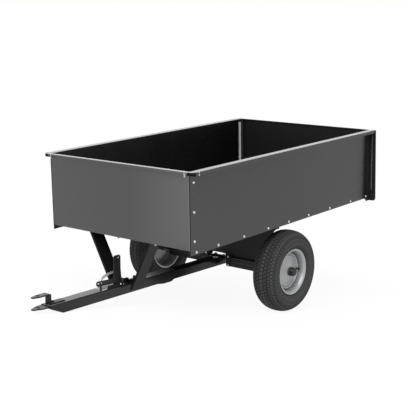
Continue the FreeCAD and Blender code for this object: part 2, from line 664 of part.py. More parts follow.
strap = node(new_body("hitch_strap"), on_bar=True)
pad(strap, "YZ_Plane", "-strap_width / 2", "strap_width / 2", [
    ("-bar_nose + strap_foot", "bar_top"),
    ("-bar_nose + strap_foot", "bar_top + hitch_wall"),
    ("riser + hitch_wall", "bar_top + hitch_wall"),
    ("riser + hitch_wall", "strap_top", "strap_bend"),
    ("-hitch_reach", "strap_top"),
    ("-hitch_reach", "strap_top - hitch_wall"),
    ("riser", "strap_top - hitch_wall"),
    ("riser", "bar_top"),
])
pocket(strap, "XY_Plane", "strap_top - 2 * hitch_wall", "strap_top + hitch_wall",
       ("circle", "0", "-hitch_reach + pin_back", "pin_radius"))
for side_sign in ("", "-"):
    pocket(strap, "XY_Plane", "strap_top - 2 * hitch_wall", "strap_top + hitch_wall", [
        (f"{side_sign}hitch_tip", "-hitch_reach - hitch_wall"),
        (f"{side_sign}hitch_tip", "-hitch_reach"),
        (f"{side_sign}strap_width / 2", "-hitch_reach + pin_back"),
        (f"{side_sign}strap_width", "-hitch_reach + pin_back"),
        (f"{side_sign}strap_width", "-hitch_reach - hitch_wall"),
    ])

lower = node(new_body("hitch_plate"), on_bar=True)
pad(lower, "XY_Plane", "bar_top - bar_wall - hitch_wall", "bar_top - bar_wall", [
    ("-lower_plate_width / 2", "-bar_nose + lower_plate_foot"),
    ("-lower_plate_width / 2", "-bar_nose - lower_plate_neck"),
    ("-hitch_tip", "-hitch_reach"),
    ("hitch_tip", "-hitch_reach"),
    ("lower_plate_width / 2", "-bar_nose - lower_plate_neck"),
    ("lower_plate_width / 2", "-bar_nose + lower_plate_foot"),
], ("circle", "0", "-hitch_reach + pin_back", "pin_radius"))

# ---- tipping latch -----------------------------------------------------------------------
# A folded bracket on the drawbar carries the lever; the lever's pedal arm lifts the lock
# pin, and a bent rod braces the one against the other.

carrier = node(new_body("latch_bracket"), on_bar=True)
pad(carrier, "XZ_Plane", "-latch_bracket_front", "-latch_bracket_back", [
    ("-bar_half", "bar_top"),
    ("bar_half", "bar_top"),
    ("bar_half", "bar_top + latch_bracket_height"),
    ("bar_half - bar_wall", "bar_top + latch_bracket_height"),
    ("bar_half - bar_wall", "latch_floor"),
    ("-bar_half + bar_wall", "latch_floor"),
    ("-bar_half + bar_wall", "bar_top + latch_bracket_height"),
    ("-bar_half", "bar_top + latch_bracket_height"),
])
pocket(carrier, "YZ_Plane", "-bar_half - bar_wall", "bar_half + bar_wall", [
    ("-latch_bracket_front - bar_wall", "latch_floor"),
    ("-latch_bracket_front", "latch_floor"),
    ("-latch_bracket_front + latch_bracket_slant", "bar_top + latch_bracket_height"),
    ("-latch_bracket_front + latch_bracket_slant", "bar_top + 2 * latch_bracket_height"),
    ("-latch_bracket_front - bar_wall", "bar_top + 2 * latch_bracket_height"),
])
pocket(carrier, "YZ_Plane", "-bar_half - bar_wall", "bar_half + bar_wall",
       ("circle", "pivot_place", "bar_top + pivot_height", "pivot_radius + pivot_fit"))

lever = node(new_body("release_lever"), on_bar=True)
pad(lever, "YZ_Plane", "latch_back", "latch_face", [
    ("-lever_front", "latch_floor"),
    ("lever_back + lever_spread", "latch_floor"),
    ("lever_back", "lever_waist"),
    ("lever_back", "lever_top", "lever_corner"),
    ("-lever_front", "lever_top", "lever_corner"),
], ("circle", "lever_back - lever_hole", "lever_top - lever_hole", "latch_hole"),
   ("circle", "pivot_place", "bar_top + pivot_height", "pivot_radius + pivot_fit"))

pivot = node(new_body("lever_pivot"), on_bar=True)
pad(pivot, "YZ_Plane", "-bar_half", "bar_half",
    ("circle", "pivot_place", "bar_top + pivot_height", "pivot_radius"))

pedal = node(new_body("release_pedal"), on_bar=True)
pad(pedal, "YZ_Plane", "latch_back", "latch_face", [
    ("-pedal_reach", "pedal_centre - pedal_half", "pedal_corner"),
    ("-lever_front", "pedal_root - pedal_half"),
    ("-lever_front", "pedal_root + pedal_half"),
    ("-pedal_reach", "pedal_centre + pedal_half", "pedal_corner"),
], ("circle", "-pedal_reach + pedal_hole_back", "pedal_centre", "latch_hole"),
   ("circle", "-pin_ahead", "pedal_centre", "latch_hole"))

pin = node(new_body("lock_pin"), on_bar=True)
pad(pin, "XY_Plane", "bar_top", "pin_top",
    ("circle", "latch_side", "-pin_ahead", "lock_pin_radius"))

rod = node(new_body("release_rod"), on_bar=True)
sweep(rod, "YZ_Plane", "latch_back - rod_radius", "rod_radius", [
    ("-pin_ahead", "pedal_centre"),
    ("-pin_ahead", "rod_shoulder - rod_bend"),
    ("-pin_ahead + rod_bend", "rod_shoulder + rod_bend / 3"),
    ("-lever_front", "rod_height"),
    ("-lever_front + pivot_back", "rod_height"),
])

# ---- wheels --------------------------------------------------------------------------------

tyre = node(new_body("tyre_left"))
turn(tyre, [
    ("wheel_half - bead_half", "bead_radius"),
    ("wheel_half + bead_half", "bead_radius"),
    ("wheel_half + tyre_half", "bulge_radius"),
    ("wheel_half + tyre_half", "shoulder_radius"),
    ("wheel_half + tyre_crown", "tyre_radius"),
    ("wheel_half - tyre_crown", "tyre_radius"),
    ("wheel_half - tyre_half", "shoulder_radius"),
    ("wheel_half - tyre_half", "bulge_radius"),
])
node(mirror_right(tyre))

rim = node(new_body("rim_left"))
turn(rim, [
    ("wheel_half - rim_reach", "rim_inside"),
    ("wheel_half - rim_reach", "rim_radius"),
    ("wheel_half - rim_half", "bead_radius"),
    ("wheel_half + rim_half", "bead_radius"),
    ("wheel_half + rim_reach", "rim_radius"),
    ("wheel_half + rim_reach", "rim_inside"),
    ("wheel_half + disc_face - disc_drop", "rim_inside"),
    ("wheel_half + disc_face", "disc_radius"),
    ("wheel_half + disc_face", "hub_radius"),
    ("wheel_half + disc_face - rim_wall", "hub_radius"),
    ("wheel_half + disc_face - rim_wall", "disc_radius"),
    ("wheel_half + disc_face - rim_wall - disc_drop", "rim_inside"),
])
node(mirror_right(rim))

hub = node(new_body("hub_left"))
turn(hub, [
    ("wheel_half - hub_half", "bore_radius"),
    ("wheel_half - hub_half", "hub_radius"),
    ("wheel_half + hub_half", "hub_radius"),
    ("wheel_half + hub_half", "bore_radius"),
])
node(mirror_right(hub))

cap = node(new_body("hub_cap_left"))
pad(cap, "YZ_Plane", "wheel_half + hub_half", "wheel_half + cap_reach",
    ("circle", "0", "0", "hub_radius"))
node(mirror_right(cap))

doc.recompute()

# ---- parking ---------------------------------------------------------------------------------
# The trailer turns nose-down about the axle until the drawbar's lower front corner stands on
# the floor with the tyres, and the floor is then at the height 0.

corner = Rotation(Vector(1, 0, 0), -value("bar_rise")).multVec(
    Vector(0, value("-bar_nose + nose_bevel"), value("bar_bottom")))
reach = corner.Length
below = value(f"asin(tyre_radius / {reach})")
above = value(f"atan({corner.z} / {-corner.y})")
park = Placement(Vector(0, 0, value("tyre_radius")), Rotation(Vector(1, 0, 0), below + above))
raised = Placement(Vector(0, 0, 0), Rotation(Vector(1, 0, 0), -value("bar_rise")))
for thing in nodes + bar_nodes:
    if thing.TypeId == "Part::Mirroring":
        continue
    thing.Placement = park.multiply(raised) if thing in bar_nodes else park
doc.recompute()

boxes = [thing.Shape.BoundBox for thing in nodes + bar_nodes]
middle = (min(box.YMin for box in boxes) + max(box.YMax for box in boxes)) / 2
for thing in nodes + bar_nodes:
    if thing.TypeId != "Part::Mirroring":
        thing.Placement = Placement(Vector(0, -middle, 0), Rotation()).multiply(thing.Placement)
doc.recompute()

for thing in doc.Objects:
    assert not {"Invalid", "Error"} & set(thing.State), f"{thing.Label}: {thing.State}"

os.makedirs("parts", exist_ok=True)
for thing in nodes + bar_nodes:
    shape = thing.Shape
    assert not shape.isNull() and shape.isValid(), thing.Label
    assert len(shape.Solids) >= 1, thing.Label
    shape.exportStep(f"parts/{thing.Label}.step")
    box = shape.BoundBox
    print(f"{thing.Label:22s} {len(shape.Solids)} {shape.Volume / 1000:9.1f} cm3"
          f"  x {box.XMin:7.1f} {box.XMax:7.1f}  y {box.YMin:7.1f} {box.YMax:7.1f}"
          f"  z {box.ZMin:6.1f} {box.ZMax:6.1f}")
print(f"parked {below + above:.3f} degrees nose-down, axle at y {-middle:.2f}")
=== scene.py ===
import json
import math

import bmesh
import bpy
import numpy as np
from mathutils import Matrix, Vector


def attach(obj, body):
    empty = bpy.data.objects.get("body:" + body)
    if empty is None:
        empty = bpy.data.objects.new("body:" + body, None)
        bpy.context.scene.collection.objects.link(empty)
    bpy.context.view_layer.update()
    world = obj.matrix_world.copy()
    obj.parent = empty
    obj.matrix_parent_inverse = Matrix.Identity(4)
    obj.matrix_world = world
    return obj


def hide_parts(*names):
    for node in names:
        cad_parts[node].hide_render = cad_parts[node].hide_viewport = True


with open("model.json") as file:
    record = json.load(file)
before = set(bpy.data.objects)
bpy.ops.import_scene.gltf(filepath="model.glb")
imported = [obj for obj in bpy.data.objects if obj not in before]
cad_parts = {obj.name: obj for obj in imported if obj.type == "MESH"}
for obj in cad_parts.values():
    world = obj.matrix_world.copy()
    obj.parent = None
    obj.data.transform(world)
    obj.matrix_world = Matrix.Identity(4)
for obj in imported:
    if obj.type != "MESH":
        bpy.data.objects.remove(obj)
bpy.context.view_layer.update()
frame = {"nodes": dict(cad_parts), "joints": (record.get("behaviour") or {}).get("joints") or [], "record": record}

# ---- camera -------------------------------------------------------------------------------------
# A long lens ahead of the trailer's left front corner and a little above the bed's rim.  The
# trailer parks nose-down on its tyres and its drawbar's nose, and the camera leans with it.

CAMERA_PLACE = (3.1108, -3.9263, 1.3755)
CAMERA_RIGHT = (0.77846, 0.62754, -0.01398)
CAMERA_UP = (-0.12511, 0.17694, 0.97624)
CAMERA_LENS = 86.42
SENSOR_WIDTH = 36

joints = {joint["name"]: joint for joint in frame["joints"]}
axle_place = np.array(joints["bed_tip"]["pos_m"])
lift_axis = joints["tailgate_lift"]["axis"]
bed_pitch = math.atan2(-lift_axis[1], lift_axis[2])


def turned(points, angle):
    """Points turned about the X axis: y cos a - z sin a and y sin a + z cos a."""
    points = np.asarray(points, float)
    x, y, z = points[..., 0], points[..., 1], points[..., 2]
    cosine, sine = math.cos(angle), math.sin(angle)
    return np.stack([x, y * cosine - z * sine, y * sine + z * cosine], -1)


def parked(points, pitch=bed_pitch):
    """Points drawn level about the axle's middle, +X left and -Y to the hitch, as they park."""
    return turned(points, pitch) + axle_place


right = turned(CAMERA_RIGHT, bed_pitch)
up = turned(CAMERA_UP, bed_pitch)
camera = bpy.data.objects.new("camera", bpy.data.cameras.new("camera"))
camera.data.lens = CAMERA_LENS
camera.data.sensor_width = SENSOR_WIDTH
facing = Matrix((right, up, np.cross(right, up))).transposed().to_4x4()
camera.matrix_world = Matrix.Translation(Vector(parked(CAMERA_PLACE))) @ facing
bpy.context.scene.collection.objects.link(camera)
bpy.context.scene.camera = camera

# ---- bed: side panels, front panel, floor and tailgate ------------------------------------------
# Steel sheet, folded on a press brake, bolted together and coated in black polyester powder.
# Its satin gloss turns it mid grey outside, and it stays nearly black in the dark inside.
# Its rims carry a pale band of painted highlight along their tops.

SHEET = 0.0015
POWDER_BLACK = "#1b1b1c"
# Painted highlight: a pale band along the tops of the rims.
RIM_HIGHLIGHT_GREY = "#a6a7a7"
RIM_HIGHLIGHT_DEPTH = 0.0022
POWDER_ROUGH = 0.27
PEEL_GRAIN = 0.003
PEEL_HEIGHT = 0.000008
DRIFT_PATCH = 0.142857
SHEEN_DRIFT = 0.05
# Painted light towards the front panel's near corner, and a painted highlight on its fold.
FRONT_LIGHT_START = 0.08
FRONT_LIGHT_GREY = "#464647"
FOLD_HIGHLIGHT_GREY = "#626263"
FOLD_HIGHLIGHT_BAND = (0.0085, 0.0065)
# Painted light towards the side's front edge, and painted shade towards its rear.
SIDE_PAINTED_LIGHT = "#2f2f30"
SIDE_PAINTED_SHADE = "#0b0b0c"
SIDE_DARK_END = 0.1


def linear(colour):
    """The linear RGBA of an sRGB hex colour, by the sRGB curve."""
    channels = np.array([int(colour[place:place + 2], 16) / 255 for place in (1, 3, 5)])
    curve = np.where(channels <= 0.04045, channels / 12.92, ((channels + 0.055) / 1.055) ** 2.4)
    return (*curve, 1.0)


def add(tree, kind, links=None, **settings):
    """Add a node to a tree with its settings; links maps inputs to sockets or to values."""
    node = tree.nodes.new(kind)
    for name, setting in settings.items():
        setattr(node, name, setting)
    for place, source in (links or {}).items():
        if isinstance(source, bpy.types.NodeSocket):
            tree.links.new(source, node.inputs[place])
        else:
            node.inputs[place].default_value = source
    return node


def finish(name, colour, spread, rough, grain, height, **sockets):
    """A finish on Object coordinates: its tone and sheen drift a little, over a fine bump.

    A noise in patches 143 mm across moves the colour between (1 - spread) and (1 + spread)
    times the given one, and the roughness a little either way, as hands and weather do.  The
    grain and the height of the bump are in metres.
    Other words set the shader's own sockets, such as Coat_Weight.
    """
    material = bpy.data.materials.new(name)
    material.use_nodes = True
    tree = material.node_tree
    shader = tree.nodes["Principled BSDF"]
    for socket, setting in sockets.items():
        shader.inputs[socket.replace("_", " ")].default_value = setting
    place = add(tree, "ShaderNodeTexCoord").outputs["Object"]
    broad = add(tree, "ShaderNodeTexNoise", {
        "Vector": place, "Scale": 1 / DRIFT_PATCH, "Detail": 4.0})
    drift = broad.outputs["Fac"]
    base = np.array(linear(colour)[:3])
    tone = add(tree, "ShaderNodeMix", {"Factor": drift}, data_type="RGBA")
    tone.inputs[6].default_value = (*(base * (1 - spread)), 1)
    tone.inputs[7].default_value = (*(base * (1 + spread)), 1)
    tree.links.new(tone.outputs[2], shader.inputs["Base Color"])
    sheen = add(tree, "ShaderNodeMapRange", {
        "Value": drift, "To Min": rough - SHEEN_DRIFT, "To Max": rough + SHEEN_DRIFT})
    tree.links.new(sheen.outputs["Result"], shader.inputs["Roughness"])
    fine = add(tree, "ShaderNodeTexNoise", {"Vector": place, "Scale": 1 / grain, "Detail": 2.0})
    bump = add(tree, "ShaderNodeBump", {"Height": fine.outputs["Fac"], "Distance": height})
    tree.links.new(bump.outputs["Normal"], shader.inputs["Normal"])
    return material


def level_box(node, pitch=bed_pitch):
    """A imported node's lowest and highest corners, with the trailer turned back to level."""
    mesh = frame["nodes"][node].data
    points = np.empty(len(mesh.vertices) * 3)
    mesh.vertices.foreach_get("co", points)
    points = turned(points.reshape(-1, 3) - axle_place, -pitch)
    return points.min(0), points.max(0)


def dress(material, *names):
    """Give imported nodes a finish."""
    for name in names:
        for slot in frame["nodes"][name].material_slots:
            slot.material = material


def shade_where(material, source, start, end, colour):
    """Blend a finish's colour towards another one as a socket runs from start to end."""
    tree = material.node_tree
    base = tree.nodes["Principled BSDF"].inputs["Base Color"]
    amount = add(tree, "ShaderNodeMapRange", {
        "Value": source, "From Min": start, "From Max": end}).outputs["Result"]
    blend = add(tree, "ShaderNodeMix", {"Factor": amount, 6: base.links[0].from_socket},
                data_type="RGBA")
    blend.inputs[7].default_value = linear(colour)
    tree.links.new(blend.outputs[2], base)


def level_axes(material, pitch=bed_pitch):
    """A finish's X, Y and Z sockets, measured level about the axle's middle."""
    tree = material.node_tree
    level = add(tree, "ShaderNodeMapping", {
        "Vector": add(tree, "ShaderNodeTexCoord").outputs["Object"],
        "Rotation": (-pitch, 0, 0), "Location": tuple(turned(-axle_place, -pitch))})
    return add(tree, "ShaderNodeSeparateXYZ", {0: level.outputs[0]}).outputs


side_low, side_high = level_box("bed_side_left")
side_face = side_low[0] + SHEET
rim_top = side_high[2]

# Powder coat outside: satin, so it takes soft broad highlights.  Its colour carries painted
# light, paler by the front edge, and painted shade, darker to the rear, as the light falls off
# along the side.
side_coat = finish("powder_coated_sheet", POWDER_BLACK, 0.10, POWDER_ROUGH, PEEL_GRAIN,
                   PEEL_HEIGHT, Coat_Weight=0.1, Coat_Roughness=0.2)
side_axes = level_axes(side_coat)
shade_where(side_coat, side_axes[1], 0, side_low[1], SIDE_PAINTED_LIGHT)
shade_where(side_coat, side_axes[1], 0, side_high[1] - SIDE_DARK_END, SIDE_PAINTED_SHADE)
# Powder coat inside: rougher from soil and gravel, so it hardly shines.
inner_coat = finish("powder_coated_sheet_inside", POWDER_BLACK, 0.15, 0.34, PEEL_GRAIN,
                    PEEL_HEIGHT, Specular_IOR_Level=0.42)
# Powder coat in front: thicker and glossier.  Its colour turns paler by degrees towards the
# near corner, as painted light, and a pale line of painted highlight runs along its fold.
front_coat = finish("powder_coated_sheet_front", POWDER_BLACK, 0.10, POWDER_ROUGH, PEEL_GRAIN,
                    PEEL_HEIGHT, Coat_Weight=0.9, Coat_Roughness=0.2)
front_axes = level_axes(front_coat)
# Painted light towards the near corner, then a painted highlight along the fold.
shade_where(front_coat, front_axes[0], FRONT_LIGHT_START, side_face, FRONT_LIGHT_GREY)
shade_where(front_coat, front_axes[0], side_face - FOLD_HIGHLIGHT_BAND[0], side_face - FOLD_HIGHLIGHT_BAND[1],
            FOLD_HIGHLIGHT_GREY)
# Painted highlight: a pale band along the tops of the side and front rims.
for coat, axes in ((side_coat, side_axes), (front_coat, front_axes)):
    shade_where(coat, axes[2], rim_top - RIM_HIGHLIGHT_DEPTH, rim_top - RIM_HIGHLIGHT_DEPTH / 2, RIM_HIGHLIGHT_GREY)
dress(side_coat, "bed_side_left", "bed_side_right")
dress(front_coat, "bed_front_panel")
dress(inner_coat, "bed_floor", "tailgate")

# ---- bolts of the bed ---------------------------------------------------------------------------
# M6 bolts with domed heads 14 mm across, zinc-plated, so that each is a bright point on the
# black sheet: along the sides' bottom edges, up the front corners and under the front panel.

ZINC = "#d3d5d8"
BOLTS_BEHIND_FRONT = (0.039, 0.193, 0.384, 0.576, 0.748, 0.924, 1.122, 1.328, 1.490)
BOLTS_ABOVE_BOTTOM = 0.011
CORNER_BOLTS_BACK = 0.027
CORNER_BOLTS_UP = (0.061, 0.191, 0.322)
RIM_RIVETS_BEHIND_FRONT = (0.804, 1.440)
RIM_RIVETS_DOWN = 0.009
LIP_RIVETS_DOWN = (0.0045, 0.0150)
FRONT_NUTS_ACROSS = (-0.407, -0.190, -0.013, 0.365)
NEW_NUT_ACROSS = 0.215
FRONT_NUTS_BACK = 0.016
DOME = ((0.0, 0.0040), (0.0026, 0.0037), (0.0049, 0.0028), (0.0064, 0.0014), (0.0071, 0.0),
        (0.0, 0.0))
RIVET = ((0.0, 0.0014), (0.0024, 0.0012), (0.0040, 0.0), (0.0, 0.0))
NUT = ((0.0, 0.0098), (0.0028, 0.0098), (0.0032, 0.0062), (0.0052, 0.0060), (0.0058, 0.0054),
       (0.0058, 0.0008), (0.0068, 0.0007), (0.0069, 0.0), (0.0, 0.0))

# Bright zinc plate: a clear metal glint on each head.
zinc = finish("zinc_plated_steel", ZINC, 0.08, 0.32, 0.0008, 0.000004, Metallic=1.0)


def make_piece(name, points, faces, body, material, smooth=True, tone=None):
    """One mesh of parked points that rides on a body; poles are merged, so shells are closed.

    A tone from 0 to 1 for each point is kept as an attribute of that name.
    """
    mesh = bpy.data.meshes.new(name)
    mesh.from_pydata(np.asarray(points).reshape(-1, 3).tolist(), [], np.asarray(faces).tolist())
    if tone is not None:
        mesh.attributes.new("tone", "FLOAT", "POINT").data.foreach_set("value", tone.ravel())
    merged = bmesh.new()
    merged.from_mesh(mesh)
    bmesh.ops.remove_doubles(merged, verts=merged.verts, dist=1e-6)
    merged.to_mesh(mesh)
    merged.free()
    mesh.polygons.foreach_set("use_smooth", [smooth] * len(mesh.polygons))
    mesh.materials.append(material)
    piece = bpy.data.objects.new(name, mesh)
    bpy.context.scene.collection.objects.link(piece)
    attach(piece, body)
    return piece


def wrap(rows, columns):
    """Quads over a grid of rows by columns whose columns close on themselves."""
    row = np.arange(rows - 1)[:, None]
    column = np.arange(columns)[None, :]
    beside = (column + 1) % columns
    corners = (row * columns + column, (row + 1) * columns + column,
               (row + 1) * columns + beside, row * columns + beside)
    return np.stack(np.broadcast_arrays(*corners), -1).reshape(-1, 4)


def turned_heads(name, places, outward, profile, body, material, sides=14,
                 pitch=bed_pitch):
    """Turned heads in one mesh: place + radius (cos a across + sin a along) + height outward.

    The profile runs from the head's pole to its foot as pairs of radius and height.  Six
    sides make a hexagon, which is left with flat faces.
    """
    outward = np.asarray(outward, float)
    helper = np.array((0.0, 0.0, 1.0) if abs(outward[2]) < 0.9 else (0.0, 1.0, 0.0))
    across = np.cross(helper, outward)
    along = np.cross(outward, across)
    angle = np.linspace(0, 2 * np.pi, sides, endpoint=False)[:, None]
    ring = np.cos(angle) * across + np.sin(angle) * along
    radius, height = np.array(profile).T[..., None, None]
    shape = radius * ring + height * outward
    points = np.asarray(places, float)[:, None, None, :] + shape
    each = len(profile) * sides
    faces = wrap(len(profile), sides) + each * np.arange(len(places))[:, None, None]
    return make_piece(name, parked(points, pitch), faces.reshape(-1, 4), body, material,
                      smooth=sides > 6)


HANDS = ((1, "left"), (-1, "right"))
front_low = level_box("bed_front_panel")[0]
front_edge = side_low[1]
low_row = [(side_face, front_edge + back, side_low[2] + BOLTS_ABOVE_BOTTOM)
           for back in BOLTS_BEHIND_FRONT]
corner_row = [(side_face, front_edge + CORNER_BOLTS_BACK, side_low[2] + rise)
              for rise in CORNER_BOLTS_UP]
rim_row = [(side_high[0], front_edge + back, side_high[2] - RIM_RIVETS_DOWN)
           for back in RIM_RIVETS_BEHIND_FRONT]
for side, hand in HANDS:
    turned_heads(f"bed_bolts_{hand}", np.array(low_row + corner_row) * (side, 1, 1),
                 (side, 0, 0), DOME, "bed", zinc)
    turned_heads(f"rim_rivets_{hand}", np.array(rim_row) * (side, 1, 1), (side, 0, 0),
                 RIVET, "bed", side_coat)
    turned_heads(f"lip_rivets_{hand}", [(side * side_high[0], front_edge + CORNER_BOLTS_BACK,
                                         rim_top - down) for down in LIP_RIVETS_DOWN],
                 (side, 0, 0), RIVET, "bed", zinc)
for name, places, slot, coat in (("front_nuts", FRONT_NUTS_ACROSS, "bed_paint", side_coat),
                                 ("new_front_nut", (NEW_NUT_ACROSS,), "zinc", zinc)):
    turned_heads(name, [(x, front_edge + FRONT_NUTS_BACK, front_low[2]) for x in places],
                 (0, 0, -1), NUT, "bed", coat, sides=6)

# ---- front corners of the rim -------------------------------------------------------------------
# A rounded steel plate closes each notch between the side's and the front's folded lips, and a
# black moulded plug fills the side lip's open end beneath it; its black is painted shade, the
# shade inside the lip's end.  A black strip down the joint between the side and the front is
# painted shade, the shadow in the gap there.

# Painted shade for the plugs and for the strip down the joint.
PLUG_SHADE_BLACK = "#0c0c0d"
# A painted highlight for the front lip's end edge.
LIP_END_HIGHLIGHT = "#e4e5e6"
PLUG_ACROSS = (0.0004, 0.0006)
PLUG_DROP = 0.0186
PLUG_DEPTH = (-0.0030, 0.006)
FRONT_PLUG_ACROSS = (-0.0150, 0.0002)
FRONT_PLUG_DROP = 0.0185
FRONT_PLUG_DEPTH = (-0.0030, -0.0004)
LIP_END_ACROSS = (-0.0178, -0.0152)
LIP_END_DROP = (-0.0235, -0.0004)
LIP_END_DEPTH = (-0.0002, 0.0060)
# The strip of painted shade down the joint between the side and the front.
SHADE_STRIP_ACROSS = (-0.0038, 0.0003)
SHADE_STRIP_ENDS = (0.002, -0.0170)
SHADE_STRIP_DEPTH = (-0.0005, 0.0010)
NOTCH_LAP = 0.002

# Moulded polyethylene: dull black, as painted shade at the corner.
shade_black_plastic = finish("corner_shade_plastic", PLUG_SHADE_BLACK, 0.10, 0.6, 0.001, 0.000006,
                      Specular_IOR_Level=0.15)
# A painted highlight on the front lip's end edge: a thin pale line.
lip_end_highlight = finish("lip_end_highlight_paint", LIP_END_HIGHLIGHT, 0.05, 0.40, 0.0008, 0.000004)


def plate(name, outline, low, high, axis, body, slot, material, pitch=bed_pitch, bevel=0.0004,
          middle=None):
    """A flat plate: an outline carried from low to high along an axis, with bevelled edges.

    Its rings are the outline drawn in by the bevel, the outline twice, and the outline drawn
    in again. A middle point that sees the whole outline closes each end.
    """
    flat = np.asarray(outline, float)
    turn = np.roll(flat, -1, axis=0)
    if np.sum(flat[:, 0] * turn[:, 1] - turn[:, 0] * flat[:, 1]) * (-1 if axis == 1 else 1) < 0:
        flat = flat[::-1]
    middle = flat.mean(0) if middle is None else np.asarray(middle, float)
    drawn_in = flat - bevel * np.sign(flat - middle)
    centre = np.broadcast_to(middle, flat.shape)
    rings = np.stack([centre, drawn_in, flat, flat, drawn_in, centre])
    levels = np.array([high, high, high - bevel, low + bevel, low, low])
    level = np.broadcast_to(levels[:, None, None], (*rings.shape[:2], 1))
    points = np.insert(rings, axis, level[..., 0], axis=-1)
    return make_piece(name, parked(points, pitch), wrap(6, len(flat)), body, material,
                      smooth=False)


def box_outline(first, second):
    """The corners of a rectangle between two values on each of two axes."""
    return [(first[0], second[0]), (first[1], second[0]), (first[1], second[1]),
            (first[0], second[1])]


lip_reach = side_high[0] - side_face
front_lip = front_edge - front_low[1]
arc = np.linspace(0, np.pi / 2, 9)
notch = np.stack([side_face - NOTCH_LAP + (lip_reach + NOTCH_LAP) * np.sin(arc),
                  front_edge - front_lip * np.cos(arc)], -1)
notch = np.concatenate([notch, [(side_high[0], front_edge + NOTCH_LAP),
                                (side_face - NOTCH_LAP, front_edge + NOTCH_LAP)]])
plug = box_outline((side_face + PLUG_ACROSS[0], side_high[0] + PLUG_ACROSS[1]),
                   (rim_top - PLUG_DROP, rim_top - SHEET))
front_plug = box_outline(np.add(side_face, FRONT_PLUG_ACROSS),
                         (rim_top - FRONT_PLUG_DROP, rim_top - SHEET))
lip_end = box_outline(np.add(side_face, LIP_END_ACROSS), np.add(rim_top, LIP_END_DROP))
joint = box_outline(np.add(side_face, SHADE_STRIP_ACROSS),
                    (front_low[2] + SHADE_STRIP_ENDS[0], rim_top + SHADE_STRIP_ENDS[1]))
for side, hand in HANDS:
    plate(f"corner_plate_{hand}", notch * (side, 1), rim_top - SHEET, rim_top, 2, "bed",
          "bed_paint", side_coat)
    # The plugs and the joint strip are black as painted shade.
    for name, outline, (low, high), slot, material in (
            ("lip_plug", plug, np.add(front_edge, PLUG_DEPTH), "black_paint", shade_black_plastic),
            ("front_plug", front_plug, np.add(front_edge, FRONT_PLUG_DEPTH), "black_paint",
             shade_black_plastic),
            ("front_lip_end", lip_end, np.add(front_low[1], LIP_END_DEPTH), "zinc", lip_end_highlight),
            ("corner_shade_strip", joint, np.add(front_edge, SHADE_STRIP_DEPTH), "black_paint",
             shade_black_plastic)):
        plate(f"{name}_{hand}", np.array(outline) * (side, 1), low, high, 1, "bed", slot,
              material)

# ---- tailgate guides and their zinc strips ------------------------------------------------------
# Each guide post is a folded steel angle bolted behind the side panel, powder-coated black.
# The strip inside it, which the tailgate slides against, is bright zinc plate where the gate
# has rubbed it bare, and black beside that.

POST_BLACK = "#202021"
STRIP_WHITE = "#f4f5f5"
# Painted highlight along the post's fold.
SEAM_HIGHLIGHT_GREY = "#a2a2a3"
POST_REACH = 0.4745
POST_TAPER = 0.0055
POST_CORNER = 0.017
POST_INNER = 0.012
POST_PLATE_DEPTH = (-0.0028, -0.0003)
POST_BOLT = (0.016, 0.030)
SEAM_ACROSS = (0.0150, 0.0162)
SEAM_ENDS = (0.060, -0.020)
SEAM_DEPTH = (-0.0036, -0.0026)
BARE_FROM = 0.741
BARE_ACROSS = (0.0026, 0.0030)
BARE_BELOW_RIM = 0.018
BARE_EDGE_WIDTH = 0.001

# Powder coat on the posts: smooth and black, with a faint sheen.
post_coat = finish("powder_coated_post", POST_BLACK, 0.15, 0.42, PEEL_GRAIN, PEEL_HEIGHT,
                   Specular_IOR_Level=0.3)
# Zinc plate rubbed dull: nearly white in any light, and hardly a mirror.
strip_zinc = finish("zinc_plated_strip", STRIP_WHITE, 0.03, 0.40, 0.0006, 0.000002, Metallic=0.1)
dress(post_coat, "tailgate_guide_left", "tailgate_guide_right")
strip_axes = level_axes(strip_zinc)
strip_across = add(strip_zinc.node_tree, "ShaderNodeMath", {0: strip_axes[0]},
                   operation="ABSOLUTE").outputs[0]
for source, start, end in ((strip_across, side_low[0] - BARE_ACROSS[0],
                            side_low[0] - BARE_ACROSS[1]),
                           (strip_axes[1], BARE_FROM + BARE_EDGE_WIDTH, BARE_FROM),
                           (strip_axes[2], rim_top - BARE_BELOW_RIM - BARE_EDGE_WIDTH,
                            rim_top - BARE_BELOW_RIM)):
    shade_where(strip_zinc, source, start, end, POST_BLACK)
dress(strip_zinc, "tailgate_stop_left", "tailgate_stop_right")

post_low, post_high = level_box("tailgate_guide_left")
# A painted highlight along the post's fold: a dull mid-grey line.
seam_highlight = finish("post_fold_highlight", SEAM_HIGHLIGHT_GREY, 0.10, 0.5, 0.002, 0.00002)
seam = box_outline(np.add(side_face, SEAM_ACROSS),
                   (post_low[2] + SEAM_ENDS[0], rim_top + SEAM_ENDS[1]))
corner = np.linspace(0, np.pi / 2, 7)
rear_plate = np.stack([POST_REACH - POST_CORNER * (1 - np.sin(corner)),
                       post_low[2] + POST_CORNER * (1 - np.cos(corner))], -1)
rear_plate = np.concatenate([[(side_face + POST_INNER, post_low[2])], rear_plate,
                             [(POST_REACH - POST_TAPER, post_high[2]),
                              (side_face + POST_INNER, post_high[2])]])
for side, hand in HANDS:
    plate(f"post_seam_{hand}", np.array(seam) * (side, 1),
          *np.add(post_high[1], SEAM_DEPTH), 1, "bed", "zinc", seam_highlight, bevel=0.0002)
for side, hand in HANDS:
    plate(f"post_plate_{hand}", rear_plate * (side, 1),
          *np.add(post_high[1], POST_PLATE_DEPTH), 1, "bed", "bed_paint", post_coat)
turned_heads("post_bolts", [(side * (side_face + POST_BOLT[0]),
                             post_high[1] + POST_PLATE_DEPTH[0], post_low[2] + POST_BOLT[1])
                            for side in (1, -1)],
             (0, -1, 0), DOME, "bed", post_coat)

# ---- undercarriage ------------------------------------------------------------------------------
# The axle beam's halves, their end plates and brackets and the web are 3 mm steel, welded and
# powder-coated.  They are in the bed's shade and take the road's dust, so they stay dull.

